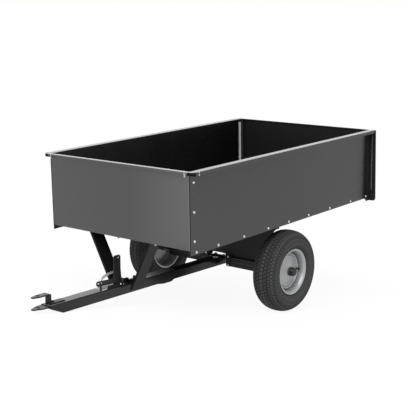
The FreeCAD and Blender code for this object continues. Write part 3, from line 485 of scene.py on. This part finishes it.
UNDER_BLACK = "#1a1a1a"
SHAFT_GREY = "#6f7072"
# Painted highlight: the weld beads' pale grey.
WELD_HIGHLIGHT_GREY = "#5a5a5b"
WING_EDGE = ((0.337, 0.120), (0.337, 0.150), (0.340, 0.172), (0.346, 0.185), (0.354, 0.194),
             (0.364, 0.2015), (0.380, 0.2070))
WING_LAP = 0.004
WING_LOW = 0.050
WING_DEPTH = (-0.0012, 0.0014)
WING_MIDDLE = (0.312, 0.215)
WELD_DOWN = (("upper", 0.0012), ("lower", 0.0230))
WELD_HALF = 0.0010
BRACKET_BOLT_IN = 0.008
SCREW_HEAD = ((0.0, 0.0036), (0.0026, 0.0033), (0.0042, 0.0022), (0.0050, 0.0), (0.0, 0.0))

# Powder coat under the bed: rough with dust, so it stays flat and dark.
under_coat = finish("powder_coated_chassis", UNDER_BLACK, 0.20, 0.50, PEEL_GRAIN, 0.00002,
                    Specular_IOR_Level=0.25)
# Bare drawn steel, dulled: a soft grey metal streak along the shaft.
shaft_steel = finish("drawn_steel_shaft", SHAFT_GREY, 0.15, 0.40, 0.0010, 0.000006, Metallic=1.0)
dress(under_coat, *[name for name in frame["nodes"] if name.startswith("axle_")])
# Weld bead: lumpy, and pale grey as a painted highlight, a broken line of light on its crest.
weld_highlight = finish("weld_highlight_paint", WELD_HIGHLIGHT_GREY, 0.20, 0.45, 0.004, 0.0002)
dress(shaft_steel, "axle_shaft")

bracket_low, bracket_high = level_box("axle_bracket_left")
bolt_across = (bracket_low[0] + bracket_high[0]) / 2
bolt_levels = (bracket_high[2] - BRACKET_BOLT_IN, bracket_low[2] + BRACKET_BOLT_IN)
turned_heads("axle_bracket_bolts", [(side * bolt_across, bracket_low[1], level)
                                    for side in (1, -1) for level in bolt_levels],
             (0, -1, 0), SCREW_HEAD, "bed", zinc)

# Welds run along the beam's two front edges, pale grey with painted highlight, and a wing
# carries the web out to the tyre.
beam_low, beam_high = level_box("axle_beam_left")
web_low, web_high = level_box("axle_web")
wing = [(web_high[0] - WING_LAP, WING_LOW), *WING_EDGE,
        (WING_EDGE[-1][0], side_low[2] + SHEET), (web_high[0] - WING_LAP, side_low[2] + SHEET)]
for side, hand in HANDS:
    ends = sorted((side * bracket_high[0], side * beam_high[0]))
    for name, down in WELD_DOWN:
        level = beam_high[2] - down
        line = box_outline((beam_low[1] - WELD_HALF, beam_low[1] + WELD_HALF),
                           (level - WELD_HALF, level + WELD_HALF))
        plate(f"beam_weld_{name}_{hand}", line, *ends, 0, "bed", "zinc_dull", weld_highlight)
    plate(f"web_wing_{hand}", np.array(wing) * (side, 1), *np.add(web_low[1], WING_DEPTH), 1,
          "bed", "black_paint", under_coat, middle=np.array(WING_MIDDLE) * (side, 1))

# ---- struts, saddle and keeper ------------------------------------------------------------------
# Two folded steel struts under the bed's front spread down to a saddle plate, which rests on
# the drawbar and carries the keeper that the latch hooks; all are welded and powder-coated.

STRUT_BLACK = "#121213"

# Powder coat on the struts: matt, the blackest paint on the trailer.
strut_coat = finish("powder_coated_strut", STRUT_BLACK, 0.15, 0.46, PEEL_GRAIN, 0.00002,
                    Specular_IOR_Level=0.15)
dress(strut_coat, "prop_strut_left", "prop_strut_right", "latch_saddle", "latch_keeper")

# ---- tyres --------------------------------------------------------------------------------------
# Pneumatic 16 inch tyres of matt black rubber, moulded with a fine staggered block tread over
# the crown and shoulders.  The smooth sidewalls carry two raised rings, paler as a painted
# highlight, and the grooves and the bead by the rim are darkened as painted shade.

RUBBER = "#444445"
# Painted shade in the grooves and by the rim, and painted highlight on the sidewall rings.
GROOVE_SHADE_BLACK = "#141415"
BLOCK_ROWS = 66
BLOCKS_ACROSS = 9
RIBS = 3
BLOCK_HEIGHT = 0.0036
RING_HEIGHT = 0.0011
TREAD_SHARE = (0.235, 0.765)
WIDEST_RADIUS = 0.152
SEAT_RADIUS = 0.1045
FLANGE_RADIUS = 0.1160
SEAT_IN = 0.008
CROWN_POWER = 2 / 2.35
BEAD_POWER = 2 / 2.6
BEAD_DEPTH = 1.24
BLOCK_LENGTH = 0.88
BLOCK_WIDTH = 0.90
RINGS = ((0.140, 0.014), (0.212, 0.008))
RIM_SHADE_WIDTH = 0.030
SIDEWALL_TONE = 0.68
RING_HIGHLIGHT_TONE = 0.6
RIB_WEAR_AND_SHADE = (0.72, 0.28)
TYRE_GRID = (140, 660)

# Moulded rubber: matt, dusty grey on the blocks, and near black in the grooves and by the rim
# as painted shade.
rubber = finish("rubber_tyre", RUBBER, 0.12, 0.72, 0.0018, 0.00006, Specular_IOR_Level=0.3)
dust_and_shade_tone = add(rubber.node_tree, "ShaderNodeAttribute", attribute_name="tone").outputs["Fac"]
shade_where(rubber, dust_and_shade_tone, 1, 0, GROOVE_SHADE_BLACK)
tyre_low, tyre_high = level_box("tyre_left")
rim_low, rim_high = level_box("rim_left")
wheel_middle = (tyre_low[0] + tyre_high[0]) / 2
tyre_half = (tyre_high[0] - tyre_low[0]) / 2 - RING_HEIGHT
tyre_radius = tyre_high[2]
flange_half = (rim_high[0] - rim_low[0]) / 2


def tyre_section(count):
    """Places along the axle and distances from it, from the outer bead over to the inner one.

    Two half superellipses meet at the widest ring: x = half |cos t| ^ p, r = widest +
    height |sin t| ^ p.  Outside it p is CROWN_POWER and the height is the tread's, and inside
    it p is BEAD_POWER and the height is the bead's depth, taken as negative.
    """
    crown = tyre_radius - BLOCK_HEIGHT - WIDEST_RADIUS
    foot = (WIDEST_RADIUS - FLANGE_RADIUS) * BEAD_DEPTH
    start = math.asin(((WIDEST_RADIUS - FLANGE_RADIUS) / foot) ** (1 / BEAD_POWER))
    angle = np.linspace(-start, np.pi + start, count)
    cosine, sine = np.cos(angle), np.sin(angle)
    outside = sine >= 0
    power = np.where(outside, CROWN_POWER, BEAD_POWER)
    along = tyre_half * np.sign(cosine) * np.abs(cosine) ** power
    away = WIDEST_RADIUS + np.where(outside, crown, -foot) * np.abs(sine) ** power
    return along, away


def block_tread(turn_share, cross_share):
    """Block height from 0 to 1: rows of small blocks, every other lane half a block along.

    It falls from 1 to 0 over a steep slope where the distance from a block's middle, as a
    share of the half pitch, nears BLOCK_WIDTH across the tread or BLOCK_LENGTH along it.
    """
    across = cross_share * BLOCKS_ACROSS
    lane = np.floor(across)
    along = turn_share * BLOCK_ROWS + 0.5 * (lane % 2)
    from_lane = np.abs(across - lane - 0.5) * 2
    from_block = np.abs(along - np.floor(along) - 0.5) * 2
    return (np.clip((BLOCK_WIDTH - from_lane) * 8, 0, 1)
            * np.clip((BLOCK_LENGTH - from_block) * 7, 0, 1))


def sidewall_rings(cross_share):
    """Height of the raised rings: a sum of bells exp(-((share - place) / width) ^ 2)."""
    from_edge = np.minimum(cross_share, 1 - cross_share)
    return sum(np.exp(-((from_edge - place) / width) ** 2)
               for place, width in RINGS)


def make_tyre(side, hand):
    """The section carried round the axle and moved along its normal by tread and rings.

    Its tone is 0 in the grooves and by the rim, as painted shade, SIDEWALL_TONE on the sidewalls
    and more on their rings, as a painted highlight.  Over the blocks it is a level less a cosine
    across, in RIBS waves: the ribs' middles are paler with dust, and the lines between them
    carry painted shade.
    """
    rows, columns = TYRE_GRID
    along, away = tyre_section(rows)
    outward = np.stack([np.gradient(away), -np.gradient(along)], -1)
    outward /= np.linalg.norm(outward, axis=-1, keepdims=True)
    cross = np.linspace(0, 1, rows)[:, None]
    turn = np.linspace(0, 1, columns, endpoint=False)[None, :]
    first, last = TREAD_SHARE
    window = np.clip((cross - first) * 60, 0, 1) * np.clip((last - cross) * 60, 0, 1)
    blocks = block_tread(turn, (cross - first) / (last - first))
    level, swing = RIB_WEAR_AND_SHADE
    rib_wear_and_shade = level - swing * np.cos(2 * np.pi * RIBS * (cross - first) / (last - first))
    rings = sidewall_rings(cross)
    height = BLOCK_HEIGHT * window * blocks + RING_HEIGHT * rings
    by_rim = np.clip(np.minimum(cross, 1 - cross) / RIM_SHADE_WIDTH, 0, 1)
    sidewall = np.clip(SIDEWALL_TONE + RING_HIGHLIGHT_TONE * rings, 0, 1) * by_rim
    tone = window * blocks * rib_wear_and_shade + (1 - window) * sidewall
    tone = np.concatenate([tone, np.zeros((2, columns)), tone[:1]])
    x = wheel_middle + along[:, None] + outward[:, :1] * height
    r = away[:, None] + outward[:, 1:] * height
    seat = flange_half - SEAT_IN
    beads = np.array([(-seat, SEAT_RADIUS), (seat, SEAT_RADIUS)])[:, :, None]
    x = np.concatenate([x, np.broadcast_to(wheel_middle + beads[:, 0], (2, columns)), x[:1]])
    r = np.concatenate([r, np.broadcast_to(beads[:, 1], (2, columns)), r[:1]])
    angle = 2 * np.pi * turn
    points = np.stack([side * x, r * np.cos(angle), r * np.sin(angle)], -1)
    faces = wrap(len(points), columns)[:, ::side]
    tyre = make_piece(f"tyre_tread_{hand}", parked(points), faces, f"wheel_{hand}",
                      rubber, tone=tone)
    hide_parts(f"tyre_{hand}")


for side, hand in HANDS:
    make_tyre(side, hand)

# ---- rims ---------------------------------------------------------------------------------------
# Each rim is pressed from steel sheet: a rolled flange at each edge, a well between them, and
# a disc with a raised shoulder that swells out to its hub, all in silver baked enamel.

ENAMEL = "#abacad"
FLANGE_LINE = ((0.1085, 0.0482), (0.1145, 0.0498), (0.1150, 0.0522), (0.1128, 0.0535),
               (0.1090, 0.0530), (0.1050, 0.0500), (0.1010, 0.0440), (0.0985, 0.0370),
               (0.0978, 0.0300))
DISC_LINE = ((0.0975, 0.0200), (0.0972, 0.0100), (0.0950, 0.0075), (0.0925, 0.0115),
             (0.0905, 0.0200), (0.0870, 0.0225), (0.0835, 0.0200), (0.0812, 0.0145),
             (0.0795, 0.0145), (0.0770, 0.0182), (0.0720, 0.0196), (0.0700, 0.0186),
             (0.0600, 0.0218), (0.0450, 0.0262), (0.0330, 0.0292), (0.0265, 0.0325),
             (0.0220, 0.0332))
DISC_BACK = ((0.0220, 0.0306), (0.0265, 0.0299), (0.0330, 0.0268), (0.0450, 0.0237),
             (0.0600, 0.0192), (0.0700, 0.0161), (0.0780, 0.0122), (0.0840, 0.0166),
             (0.0895, 0.0160), (0.0930, 0.0050), (0.0985, 0.0030))
WELL_LINE = ((0.0985, -0.0060), (0.0985, -0.0260))
SEAT_LINE = ((0.1060, -0.0440), (0.1050, -0.0300), (0.1035, 0.0), (0.1050, 0.0300),
             (0.1060, 0.0440))

# Silver baked enamel: metal flakes under a thin clear layer, bright on each pressed bend.
enamel = finish("silver_enamel_rim", ENAMEL, 0.12, 0.46, 0.0025, 0.00001, Metallic=0.45,
                Coat_Weight=0.15, Coat_Roughness=0.2)


def rounded(line, passes=2):
    """A line with its corners cut: each edge keeps its points at a quarter and three quarters."""
    points = np.asarray(line, float)
    for _ in range(passes):
        near = 0.75 * points[:-1] + 0.25 * points[1:]
        far = 0.25 * points[:-1] + 0.75 * points[1:]
        between = np.stack([near, far], 1).reshape(-1, 2)
        points = np.concatenate([points[:1], between, points[-1:]])
    return points


def lathe(name, section, side, body, material, columns=120):
    """A closed section of radii and reaches carried round the axle: reach, r cos a, r sin a.

    The section's signed area says which way it runs, and it is reversed where the faces
    would point inwards.
    """
    section = np.asarray(section, float)
    radius, reach = section.T
    area = np.sum(radius * np.roll(reach, -1) - np.roll(radius, -1) * reach)
    angle = np.linspace(0, 2 * np.pi, columns, endpoint=False)[None, :]
    x = side * (wheel_middle + reach[:, None]) + 0 * angle
    points = np.stack([x, radius[:, None] * np.cos(angle), radius[:, None] * np.sin(angle)], -1)
    order = side if area < 0 else -side
    return make_piece(name, parked(points), wrap(len(section), columns)[:, ::order], body,
                      material)


inner_flange = [(radius, -reach) for radius, reach in FLANGE_LINE][::-1]
rim_section = [*rounded(FLANGE_LINE + DISC_LINE), *rounded(DISC_BACK + WELL_LINE),
               *rounded(inner_flange), *rounded(SEAT_LINE), FLANGE_LINE[0]]
for side, hand in HANDS:
    rim = lathe(f"pressed_rim_{hand}", rim_section, side, f"wheel_{hand}", enamel)
    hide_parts(f"rim_{hand}")

# ---- hubs, caps and valves ----------------------------------------------------------------------
# A dark grey steel hub tube is welded through each disc, and a black plastic cap is pushed on
# its outer end.  A rubber valve stem stands out of the disc's groove.

HUB_GREY = "#4a4b4d"
CAP_BLACK = "#161617"
STEM = ((0.0, 0.0180), (0.0040, 0.0180), (0.0048, 0.0170), (0.0048, 0.0110), (0.0040, 0.0100),
        (0.0050, 0.0090), (0.0056, 0.0040), (0.0072, 0.0020), (0.0074, 0.0), (0.0, 0.0))
STEM_RADIUS = 0.0850
STEM_OUT = 0.0160
STEM_DOWN = 0.008

# Powder coat on the hub tube: dark grey, with a soft sheen.
hub_coat = finish("powder_coated_hub", HUB_GREY, 0.10, 0.42, PEEL_GRAIN, PEEL_HEIGHT)
# Moulded polypropylene: black, with a dim waxy shine on its rounded edge.
cap_plastic = finish("moulded_polypropylene_cap", CAP_BLACK, 0.10, 0.42, 0.0010, 0.000006,
                     Specular_IOR_Level=0.35)
dress(hub_coat, "hub_left", "hub_right")
cap_low, cap_high = level_box("hub_cap_left")
cap_radius = cap_high[2]
cap_start, cap_end = cap_low[0] - wheel_middle, cap_high[0] - wheel_middle
cap_line = ((0.0, cap_end), (cap_radius - 0.0060, cap_end),
            (cap_radius - 0.0028, cap_end - 0.0006), (cap_radius - 0.0010, cap_end - 0.0030),
            (cap_radius - 0.0008, cap_start + 0.0050), (cap_radius, cap_start + 0.0040),
            (cap_radius, cap_start), (0.0, cap_start))
for side, hand in HANDS:
    cap = lathe(f"push_cap_{hand}", cap_line, side, f"wheel_{hand}", cap_plastic,
                columns=56)
    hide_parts(f"hub_cap_{hand}")
    turned_heads(f"valve_{hand}", [(side * (wheel_middle + STEM_OUT), STEM_RADIUS, -STEM_DOWN)],
                 (side, 0, 0), STEM, f"wheel_{hand}", cap_plastic)

# ---- drawbar ------------------------------------------------------------------------------------
# Two folded 3 mm channels, one inside the other, welded together and powder-coated black.
# Its flat top is paler with painted light, and it shines at a low angle.

BAR_BLACK = "#1d1d1e"
# Painted light on the upward faces, and painted shade under the top edge.
BAR_TOP_LIGHT_GREY = "#6d6d6e"
SHADED_BLACK = "#0c0c0d"
NOSE_FROM = -0.95
NOSE_TO = -1.12
EDGE_BAND = (0.0040, 0.0032)
LYING_FLAT = (0.80, 0.95)
CHEEK_LENGTH = 0.062
CHEEK_HEIGHT = 0.024
CHEEK_ACROSS = (-0.0030, 0.0005)
CHEEK_SHORT = 0.001
CHEEK_MIDDLE_UP = 0.002
EYE_GAP = 0.0003

hitch_axis = frame["record"]["mounts"][0]["axis"]
bar_pitch = math.atan2(-hitch_axis[1], hitch_axis[2])


def upward(material):
    """A finish's socket for how far its surface faces up: its normal's Z, 1 where it is flat."""
    tree = material.node_tree
    normal = add(tree, "ShaderNodeTexCoord").outputs["Normal"]
    return add(tree, "ShaderNodeSeparateXYZ", {0: normal}).outputs[2]


bar_top = level_box("drawbar_front", bar_pitch)[1][2]
# Powder coat on the drawbar: glossier than the rest, with painted light on its top, painted
# shade under its top edges, and darker towards the nose.
bar_coat = finish("powder_coated_drawbar", BAR_BLACK, 0.12, 0.20, PEEL_GRAIN, PEEL_HEIGHT,
                  Specular_IOR_Level=0.35)
bar_axes = level_axes(bar_coat, bar_pitch)
shade_where(bar_coat, bar_axes[1], NOSE_FROM, NOSE_TO, SHADED_BLACK)
shade_where(bar_coat, bar_axes[2], bar_top - EDGE_BAND[0], bar_top - EDGE_BAND[1],
            SHADED_BLACK)
shade_where(bar_coat, upward(bar_coat), *LYING_FLAT, BAR_TOP_LIGHT_GREY)
dress(bar_coat, "drawbar_front", "drawbar_bush")
# Powder coat on the rear channel: as black, without the painted light on its top, since the
# bed covers it.
rear_coat = finish("powder_coated_drawbar_rear", BAR_BLACK, 0.12, 0.20, PEEL_GRAIN, PEEL_HEIGHT,
                   Specular_IOR_Level=0.25)
dress(rear_coat, "drawbar_rear")

# A cheek is welded outside each of the rear channel's walls.  Its top edge is cut in an arc that
# runs round the pivot bush, so that the axle passes above it.
rear_low, rear_high = level_box("drawbar_rear", bar_pitch)
bush_low, bush_high = level_box("drawbar_bush", bar_pitch)
eye = (bush_high[2] - bush_low[2]) / 2 + EYE_GAP
cheek_top = rear_low[2] + CHEEK_HEIGHT
cheek_end = rear_high[1] - CHEEK_SHORT
eye_end = np.arcsin(cheek_top / eye)
eye_angle = np.linspace(eye_end, -np.pi - eye_end, 15)
cheek = np.concatenate([[(-CHEEK_LENGTH, cheek_top), (-CHEEK_LENGTH, rear_low[2]),
                         (cheek_end, rear_low[2]), (cheek_end, cheek_top)],
                        np.stack([eye * np.cos(eye_angle), eye * np.sin(eye_angle)], -1)])
for side, hand in HANDS:
    plate(f"drawbar_cheek_{hand}", cheek, *sorted(side * np.add(rear_high[0], CHEEK_ACROSS)),
          0, "chassis", "drawbar_paint", rear_coat, pitch=bar_pitch,
          middle=(0.0, rear_low[2] + CHEEK_MIDDLE_UP))

# ---- hitch --------------------------------------------------------------------------------------
# A bent strap above and a flat plate below, both 5.5 mm steel, form the jaw for the towing
# vehicle's drawbar plate.  They are bolted through the drawbar's top and powder-coated.

HITCH_BOLT_AHEAD = 1.163
HITCH_BLACK = "#131314"
# Painted light on the hitch's upward faces.
HITCH_TOP_LIGHT = "#565657"
HEX_HEAD = ((0.0, 0.0064), (0.0070, 0.0064), (0.0082, 0.0056), (0.0084, 0.0010), (0.0, 0.0010))
WASHER = ((0.0, 0.0016), (0.0098, 0.0016), (0.0104, 0.0010), (0.0104, 0.0), (0.0, 0.0))

# Powder coat on the hitch: black at its sides, and grey on its upward faces as painted light.
hitch_coat = finish("powder_coated_hitch", HITCH_BLACK, 0.15, 0.30, PEEL_GRAIN, PEEL_HEIGHT,
                    Specular_IOR_Level=0.2)
shade_where(hitch_coat, upward(hitch_coat), *LYING_FLAT, HITCH_TOP_LIGHT)
dress(hitch_coat, "hitch_strap", "hitch_plate")

# An M10 bolt holds the strap's foot: a hexagon head on a round washer.
plate_low, plate_high = level_box("hitch_plate", bar_pitch)
bolt_place = [(0, -HITCH_BOLT_AHEAD, bar_top + plate_high[2] - plate_low[2])]
for name, profile, sides in (("washers", WASHER, 14), ("heads", HEX_HEAD, 6)):
    turned_heads(f"hitch_bolt_{name}", bolt_place, (0, 0, 1), profile, "chassis",
                 hitch_coat, sides=sides, pitch=bar_pitch)

# ---- tipping latch ------------------------------------------------------------------------------
# Two low steel cheeks hold the release lever on its pivot, over a pale landing plate that
# carries painted light.  The lever's pedal arm carries the lock pin, and a bent zinc-plated
# rod braces the one against the other.

ROD_ZINC = "#b9babc"
LATCH_BLACK = "#242425"
# Painted light: the pale landing on the drawbar's top.
LANDING_LIGHT_GREY = "#c2c3c4"
CRADLE_RISE = 0.0160
CRADLE_SLANT = 0.0060
LANDING_LENGTH = 0.030
SCREW_BACK = 0.019
SCREW_LEVEL = 0.0190
CRADLE_WALL = 0.003
LANDING_DEPTH = (-0.0002, 0.0010)
ROD_RADIUS = 0.0058
ROD_ASIDE = 0.001
PEDAL_RIVETS = ((0.022, -0.9036, 0.0500), (0.022, -0.8870, 0.0510))

# Powder coat on the latch: black, worn a little smooth by boots.
latch_coat = finish("powder_coated_latch", LATCH_BLACK, 0.15, 0.40, PEEL_GRAIN, PEEL_HEIGHT,
                    Specular_IOR_Level=0.25)
# A pale grey patch of painted light on the drawbar's top, without a mirror's shine.
landing_light = finish("latch_landing_light", LANDING_LIGHT_GREY, 0.12, 0.35, 0.0015, 0.00001)
# Dull zinc plate: a pale rod with one soft streak of light along it.
rod_zinc = finish("zinc_plated_rod", ROD_ZINC, 0.08, 0.46, 0.0008, 0.000004, Metallic=1.0)
dress(latch_coat, "release_lever", "release_pedal", "lock_pin")
dress(rod_zinc, "lever_pivot")


def rod(name, path, radius, body, material, sides=16, pitch=bed_pitch):
    """A round rod along a path at one x: path + r (cos a normal + sin a x), closed at its ends."""
    path = np.asarray(path, float)
    along = np.gradient(path, axis=0)
    along /= np.linalg.norm(along, axis=1, keepdims=True)
    aside = np.array((1.0, 0.0, 0.0))
    normal = np.cross(along, aside)
    path = np.concatenate([path[:1], path, path[-1:]])
    normal = np.concatenate([normal[:1], normal, normal[-1:]])
    radii = np.full(len(path), radius)
    radii[[0, -1]] = 0
    angle = np.linspace(0, 2 * np.pi, sides, endpoint=False)[None, :, None]
    spoke = np.cos(angle) * normal[:, None, :] + np.sin(angle) * aside
    points = path[:, None, :] + radii[:, None, None] * spoke
    return make_piece(name, parked(points, pitch), wrap(len(path), sides), body, material)


rod_low, rod_high = level_box("release_rod", bar_pitch)
rod_middle = (rod_high[0] + rod_low[0]) / 2
bend = np.linspace(0, np.pi / 2, 28)
foot = np.array((rod_middle - ROD_ASIDE, rod_low[1] + ROD_RADIUS, rod_low[2]))
reach = np.array((0, rod_high[1] - foot[1], rod_high[2] - ROD_RADIUS - foot[2]))
quarter = np.stack([0 * bend, 1 - np.cos(bend), np.sin(bend)], -1)
bent_rod = rod("bent_rod", foot + reach * quarter, ROD_RADIUS, "chassis", rod_zinc,
               pitch=bar_pitch)
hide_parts("release_rod")

latch_low, latch_high = level_box("latch_bracket", bar_pitch)
pivot_low, pivot_high = level_box("lever_pivot", bar_pitch)
pivot_back, pivot_level = (pivot_low[1:] + pivot_high[1:]) / 2
cradle_top = latch_low[2] + CRADLE_RISE
cradle = [(latch_low[1], latch_low[2]), (latch_high[1], latch_low[2]),
          (latch_high[1], cradle_top), (latch_low[1] + CRADLE_SLANT, cradle_top)]
landing_outline = box_outline((latch_low[0] + CRADLE_WALL, latch_high[0] - CRADLE_WALL),
                              (latch_low[1] - LANDING_LENGTH, latch_high[1]))
landing = plate("lock_pin_landing", landing_outline, *np.add(latch_low[2], LANDING_DEPTH), 2,
                "chassis", "zinc_dull", landing_light, pitch=bar_pitch)
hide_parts("latch_bracket")
for side, hand in HANDS:
    outside = side * latch_high[0]
    plate(f"latch_cradle_{hand}", cradle, *sorted((side * (latch_high[0] - CRADLE_WALL),
                                                   outside)),
          0, "chassis", "black_paint", strut_coat, pitch=bar_pitch)
    turned_heads(f"pivot_head_{hand}", [(outside, pivot_back, pivot_level)], (side, 0, 0),
                 SCREW_HEAD, "chassis", zinc, pitch=bar_pitch)
    turned_heads(f"latch_screw_{hand}", [(outside, pivot_back + SCREW_BACK, SCREW_LEVEL)],
                 (side, 0, 0), SCREW_HEAD, "chassis", shaft_steel, pitch=bar_pitch)
turned_heads("pedal_rivets", PEDAL_RIVETS, (1, 0, 0), RIVET, "chassis", zinc,
             pitch=bar_pitch)

# ---- floor, surround and light ------------------------------------------------------------------
# A plain white floor that keeps a faint shadow, a white surround, and one broad soft light
# from above the trailer's front.

SHADOW_SHARE = 0.09
FLOOR_REACH = 60.0
FLOOR_GLOW = 1.022
SURROUND_LEVEL = 0.45
SUN_LEVEL = 2.2
SUN_SPREAD = 40
SUN_TILT = 48
SUN_TURN = 20
PAPER_WHITE = 0.9

floor_mesh = bpy.data.meshes.new("floor")
corners = [(x * FLOOR_REACH, y * FLOOR_REACH, 0) for x, y in ((-1, -1), (1, -1), (1, 1), (-1, 1))]
floor_mesh.from_pydata(corners, [], [(0, 1, 2, 3)])
floor = bpy.data.objects.new("floor", floor_mesh)
bpy.context.scene.collection.objects.link(floor)

# Matt white floor paper: clean white to the eye, with a faint soft shadow.
floor_white = bpy.data.materials.new("floor_white")
floor_white.use_nodes = True
tree = floor_white.node_tree
tree.nodes.clear()
rays = add(tree, "ShaderNodeLightPath")
seen = add(tree, "ShaderNodeMath", {
    0: rays.outputs["Is Camera Ray"], 1: rays.outputs["Is Glossy Ray"]}, operation="MAXIMUM")
share = add(tree, "ShaderNodeMath", {0: seen.outputs[0], 1: 1 - SHADOW_SHARE},
            operation="MULTIPLY")
matt = add(tree, "ShaderNodeBsdfDiffuse", {"Color": (*[PAPER_WHITE] * 3, 1)})
glow = add(tree, "ShaderNodeEmission", {"Color": (1, 1, 1, 1), "Strength": FLOOR_GLOW})
blend = add(tree, "ShaderNodeMixShader", {0: share.outputs[0], 1: matt.outputs[0],
                                          2: glow.outputs[0]})
add(tree, "ShaderNodeOutputMaterial", {"Surface": blend.outputs[0]})
floor_mesh.materials.append(floor_white)

surround = bpy.data.worlds.new("surround")
bpy.context.scene.world = surround
surround.use_nodes = True
tree = surround.node_tree
tree.nodes.clear()
rays = add(tree, "ShaderNodeLightPath")
seen = add(tree, "ShaderNodeMath", {
    0: rays.outputs["Is Camera Ray"], 1: rays.outputs["Is Glossy Ray"]}, operation="MAXIMUM")
through = add(tree, "ShaderNodeMath", {0: seen.outputs[0], 1: rays.outputs["Is Transmission Ray"]},
              operation="MAXIMUM")
strength = add(tree, "ShaderNodeMapRange", {"Value": through.outputs[0],
                                            "To Min": SURROUND_LEVEL, "To Max": 1.0})
sky = add(tree, "ShaderNodeBackground", {"Color": (1, 1, 1, 1),
                                         "Strength": strength.outputs["Result"]})
add(tree, "ShaderNodeOutputWorld", {"Surface": sky.outputs[0]})

sun = bpy.data.objects.new("soft_sun", bpy.data.lights.new("soft_sun", "SUN"))
sun.data.energy = SUN_LEVEL
sun.data.angle = math.radians(SUN_SPREAD)
sun.rotation_euler = (math.radians(SUN_TILT), 0, math.radians(SUN_TURN))
bpy.context.scene.collection.objects.link(sun)

bpy.context.scene.view_settings.view_transform = "Standard"
